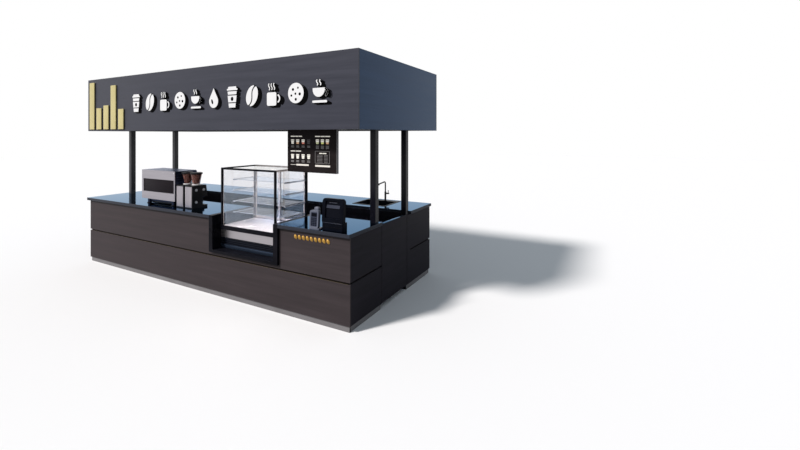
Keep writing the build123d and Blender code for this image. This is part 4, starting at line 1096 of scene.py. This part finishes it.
holes = tiled(-0.056, 0.095, -0.048, 0.103, 0.003, (terminal["holes"], 1), (terminal["holeStep"], 0), 3)
tiles = tiled(-0.110, 0.026, -0.070, 0.066, 0.004, terminal["tiles"], terminal["tileStep"])
placeCuts(terminalPlace, (
    ("terminalArch", [roundedRect(-0.146, -0.144, 0.146, 0.144, 0.039, 8),
                      roundedRect(-0.109, -0.083, 0.109, 0.123, 0.018, 8)],
     0.0025, 0.001, face, "deviceBlack", "device_black"),
    ("terminalWindow", [roundedRect(-0.098, -0.073, 0.098, 0.028, 0.006, 4)],
     0.0015, 0.0006, recess, "darkGlass", "device_black"),
))
# The ledge's paler bluish finish stands for the highlight along it: painted highlight
placeCuts(terminalPlace @ lifted(recess) @ ledgeTilt, (
    ("terminalLedge", [roundedRect(-0.092, -0.0185, 0.092, 0.0185, 0.007, 4)],
     0.0014, 0.0005, 0.0, "terminalPale", "device_grey"),))
placeCuts(terminalPlace, (("terminalGrille", holes, 0.001, 0.0, recess, "deviceGrey", "device_grey"),))
staffPlace = terminalPlace @ spin(180, "Y")
placeCuts(staffPlace, (
    ("terminalScreen", [roundedRect(-0.128, 0.010, 0.128, 0.130, 0.014, 6)],
     0.0025, 0.0008, face, "darkGlass", "device_black"),))
tileMesh = cutShape("terminalTiles", tiles, 0.0004, 0.0, staffPlace @ lifted(face + 0.0025))
placePiece("terminalTiles", tileMesh, "menuGrey", smooth=False)

middle, rear, top = terminal["centre"][0], terminal["neckRear"], terminal["neckTop"]
placeBlocks("printerLid", [
    ((middle - half, rear + near, top + low), (middle + half, rear + far, top + high))
    for half, near, far, low, high in terminal["lids"]], 0.0015, "deviceBlack")
paperY, paperZ = terminal["paperFrom"]
shape = bmesh.new()
for (y, z), (nextY, nextZ) in zip(terminal["paper"], terminal["paper"][1:]):
    corners = [(middle + side * terminal["paperHalf"], rear + paperY + depth, top + paperZ + height)
               for side, depth, height in ((-1, y, z), (1, y, z), (1, nextY, nextZ), (-1, nextY, nextZ))]
    front = [shape.verts.new(corner) for corner in corners]
    back = [shape.verts.new((x, depth + terminal["paperThick"], height)) for x, depth, height in corners]
    shape.faces.new(front)
    shape.faces.new(back[::-1])
    for side in range(4):
        shape.faces.new((front[side], front[(side + 1) % 4], back[(side + 1) % 4], back[side]))
bmesh.ops.remove_doubles(shape, verts=shape.verts, dist=0.00001)
placeShape("printerPaper", shape, "paperPale")
shape = bmesh.new()
for low, high, bevel in terminal["seams"]:
    addBlock(shape, (middle + low[0], *low[1:]), (middle + high[0], *high[1:]), bevel)
placeShape("terminalSeams", shape, "grooveBlack")
placeBlocks("terminalBand", [[(middle + x, y, z) for x, y, z in terminal["band"]]],
            0.0025, "terminalPale", steps=3)

# Card reader: pale rim and foot, dark face, window and three columns of blank keys

reader = {"centre": (2.1935, -1.0799, 1.2143), "lean": 4.0, "thick": 0.034, "footMiddle": (2.2025, -1.064),
          "footSize": (0.148, 0.096), "footInset": 0.003, "footTop": 1.112, "sunk": 0.0005,
          "keys": (3, 5), "keyStep": (0.028, 0.0195),
          "hump": ((2.162, -1.0645, 1.215), (2.232, -1.020, 1.352))}
keys = tiled(-0.038, -0.074, -0.018, -0.061, 0.004, reader["keys"], reader["keyStep"])
placeCuts(Matrix.Translation(reader["centre"]) @ spin(90 - reader["lean"]) @ lifted(reader["thick"] / 2), (
    ("readerRim", [roundedRect(-0.064, -0.101, 0.064, 0.101, 0.023, 8),
                   roundedRect(-0.047, -0.084, 0.047, 0.080, 0.014, 6)],
     0.004, 0.0018, 0.0, "readerPale", "device_grey"),
    ("readerFace", [roundedRect(-0.049, -0.086, 0.049, 0.082, 0.015, 6)],
     0.0012, 0.0, 0.0, "readerDark", "device_black"),
    ("readerWindow", [roundedRect(-0.038, 0.030, 0.038, 0.070, 0.005, 4)],
     0.002, 0.0006, 0.0008, "darkGlass", "device_black"),
    ("readerKeys", keys, 0.003, 0.001, 0.0006, "deviceBlack", "device_grey")))
footX, footY = (size / 2 - reader["footInset"] for size in reader["footSize"])
placeCuts(Matrix.Translation((*reader["footMiddle"], reader["footTop"])), (
    ("readerFoot", [roundedRect(-footX, -footY, footX, footY, 0.010, 6)],
     0.004, 0.0015, -reader["sunk"], "readerPale", "device_grey"),))
placeBlocks("readerHump", [reader["hump"]], 0.018, "deviceGrey", steps=5)
print("terminal and reader dressed")

# Sink: strainer with rings of black discs for its holes, painted shade inside them, and the tap's ring

sink = {
    "middle": (1.9025, 0.7615), "floor": 0.910, "holes": ((6, 0.010), (12, 0.019), (18, 0.028)),
    "holeDepth": 0.0037, "tap": (1.9375, 1.0125),
    "strainer": [(0.0, -0.004), (0.034, -0.004), (0.037, -0.001), (0.040, 0.001), (0.0445, 0.0012),
                 (0.0445, -0.002)],
    "tapRing": [(0.022, 0.0), (0.031, 0.0), (0.033, 0.0015), (0.033, 0.004), (0.028, 0.0065), (0.022, 0.007)],
}
placeTurned("sinkStrainer", [(sink["strainer"], (*sink["middle"], sink["floor"]))], "hingeSteel")
# Black discs where the holes are: painted shade inside them
for count, (holes, radius) in enumerate(sink["holes"]):
    growPiece(f"strainerHoleShadows{count + 1}", pegRing, "grooveBlack", {
        "Count": holes, "Middle": (*sink["middle"], sink["floor"] - sink["holeDepth"]), "Ring Radius": radius,
        "Radius": 0.0026, "Height": 0.0008})
placeTurned("tapRing", [(sink["tapRing"], (*sink["tap"], worktopTop))], "tapBlack")
print("sink dressed")

# Display case: door pulls, light bar, seals, pale skins on the rear and right top rails, shelf edges and arms

case = {
    "barX": (0.5375, 1.4975), "barY": (-1.0105, -0.4795), "floor": 0.958, "top": 1.7205, "sealHalf": 0.004,
    "light": ((0.5375, -0.50, 1.712), (1.4975, -0.476, 1.7205)),
    "rails": (((0.5371, -0.4686, 1.7204), (1.4979, -0.4294, 1.7456)),
              ((1.4979, -1.0106, 1.7204), (1.5231, -0.4294, 1.7456))),
    "pullZ": (1.26, 1.42), "pullHalf": 0.006, "pullInset": 0.017, "pullSunk": 0.0005, "pullBevel": 0.45,
    "shelves": (1.1106, 1.2632, 1.4158, 1.5684), "shelfThick": 0.006,
    "armX": ((0.5275, 0.5505), (1.4845, 1.5075)),
    "armRear": -0.4687, "armThick": 0.012, "armSkin": 0.0006, "armGap": 0.0002, "edgeY": (-0.0035, -0.0008),
    "edgeOver": 0.0005, "louvreRail": ((0.4595, -0.9985, 0.640), (1.5755, -0.9935, 0.692)), "louvreTilt": 7.0,
}
for side, inset, proud in (("left", case["pullInset"], 0.0008), ("right", -case["pullInset"], 0.0045)):
    low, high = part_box(f"case_{side}_door")
    pullX = (low.x if inset > 0 else high.x) + inset
    placeBlocks(f"{side}DoorPull", [((pullX - case["pullHalf"], high.y - case["pullSunk"], case["pullZ"][0]),
                                     (pullX + case["pullHalf"], high.y + proud, case["pullZ"][1]))],
                proud * case["pullBevel"], "caseBlack", f"{side}_door")
placeBlocks("caseLightBar", [case["light"]], 0.003, "doorAluminium")
half = case["sealHalf"]
placeBlocks("caseSeals", [((x - half, y - half, case["floor"]), (x + half, y + half, case["top"]))
                          for x in case["barX"] for y in case["barY"]],
            0.0015, "doorAluminium")
placeBlocks("caseRails", case["rails"], 0.001, "doorAluminium")
shelfLow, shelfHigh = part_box("case_shelves")
skin, over = case["armSkin"], case["edgeOver"]
placeBlocks("shelfArms", [((near - skin, shelfLow.y - skin, height - case["armThick"] - skin),
                           (far + skin, case["armRear"], height - case["armGap"]))
                          for height in case["shelves"] for near, far in case["armX"]],
            0.0005, "shelfTrim", steps=1)
placeBlocks("shelfEdges", [((shelfLow.x, shelfLow.y + case["edgeY"][0], height - over),
                            (shelfHigh.x, shelfLow.y + case["edgeY"][1], height + case["shelfThick"] + over))
                           for height in case["shelves"]], 0.0008, "shelfTrim")
# A tilted blue metallic rail across the louvres: a painted band of sky reflection
placeBlocks("louvreRail", [case["louvreRail"]], 0.0015, "railPaintedSky",
            turn=spin(case["louvreTilt"]))

# Gate: pull bar and hinge screws

gate = {"pullY": -0.352, "pullZ": (0.72, 0.90), "stand": 0.030, "bar": 0.012, "sunk": 0.0005, "thick": 0.008,
        "screwX": 0.003, "screwY": 0.250, "screwZ": (0.330, 0.930), "screwStep": 0.024}
near, far = gate["pullY"] - gate["bar"] / 2, gate["pullY"] + gate["bar"] / 2
low, high = gate["pullZ"]
out = gateLow.x - gate["stand"]
blocks = [((out, near, foot), (gateLow.x + gate["sunk"], far, foot + gate["bar"]))
          for foot in (low, high - gate["bar"])]
blocks.append(((out - gate["thick"], near, low), (out + 0.001, far, high)))
placeBlocks("gatePull", blocks, 0.002, "hingeSteel", "gate", steps=3)
for count, height in enumerate(gate["screwZ"]):
    growPiece(f"gateScrews{count + 1}", screwRow, "hingeSteel", {
        "Count": 2, "Start": (gateLow.x - gate["screwX"], gate["screwY"], height - gate["screwStep"] / 2),
        "Step": (0.0, 0.0, gate["screwStep"]), "Radius": 0.0045, "Head": 0.0015,
        "Turn": (0, -math.pi / 2, 0)}, "gate")
print("case and gate dressed")

# Roof: standing seams and edge screws. Ceiling: battens

roofLow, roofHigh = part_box("roof_sheet")
roof = {"seams": 9, "seamStart": 0.30, "seamStep": 0.626, "seamWide": 0.018, "seamHigh": 0.022, "screws": 19,
        "screwStart": 0.15, "screwStep": 0.2943, "screwInset": 0.04, "battens": 7, "battenWide": 0.030,
        "battenDeep": 0.004}
growPiece("roofSeams", barRow, "roofMetal", {
    "Count": roof["seams"],
    "Start": (roofLow.x + roof["seamStart"], (roofLow.y + roofHigh.y) / 2, roofHigh.z),
    "Step": (roof["seamStep"], 0, 0), "Width": roof["seamWide"], "Depth": roofHigh.y - roofLow.y - 0.01,
    "Length": roof["seamHigh"], "Rounding": 0.004})
for count, y in enumerate((roofLow.y + roof["screwInset"], roofHigh.y - roof["screwInset"])):
    growPiece(f"roofScrews{count + 1}", screwRow, "hingeSteel", {
        "Count": roof["screws"], "Start": (roofLow.x + roof["screwStart"], y, roofHigh.z + 0.001),
        "Step": (roof["screwStep"], 0, 0), "Radius": 0.007, "Head": 0.003})
ceilingLow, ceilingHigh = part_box("ceiling")
step = (ceilingHigh.x - ceilingLow.x) / (roof["battens"] + 1)
growPiece("ceilingBattens", barRow, "signBlack", {
    "Count": roof["battens"],
    "Start": (ceilingLow.x + step, (ceilingLow.y + ceilingHigh.y) / 2, ceilingLow.z - roof["battenDeep"]),
    "Step": (step, 0, 0), "Width": roof["battenWide"], "Depth": ceilingHigh.y - ceilingLow.y - 0.02,
    "Length": roof["battenDeep"] + 0.001, "Rounding": 0.002})

print("done")
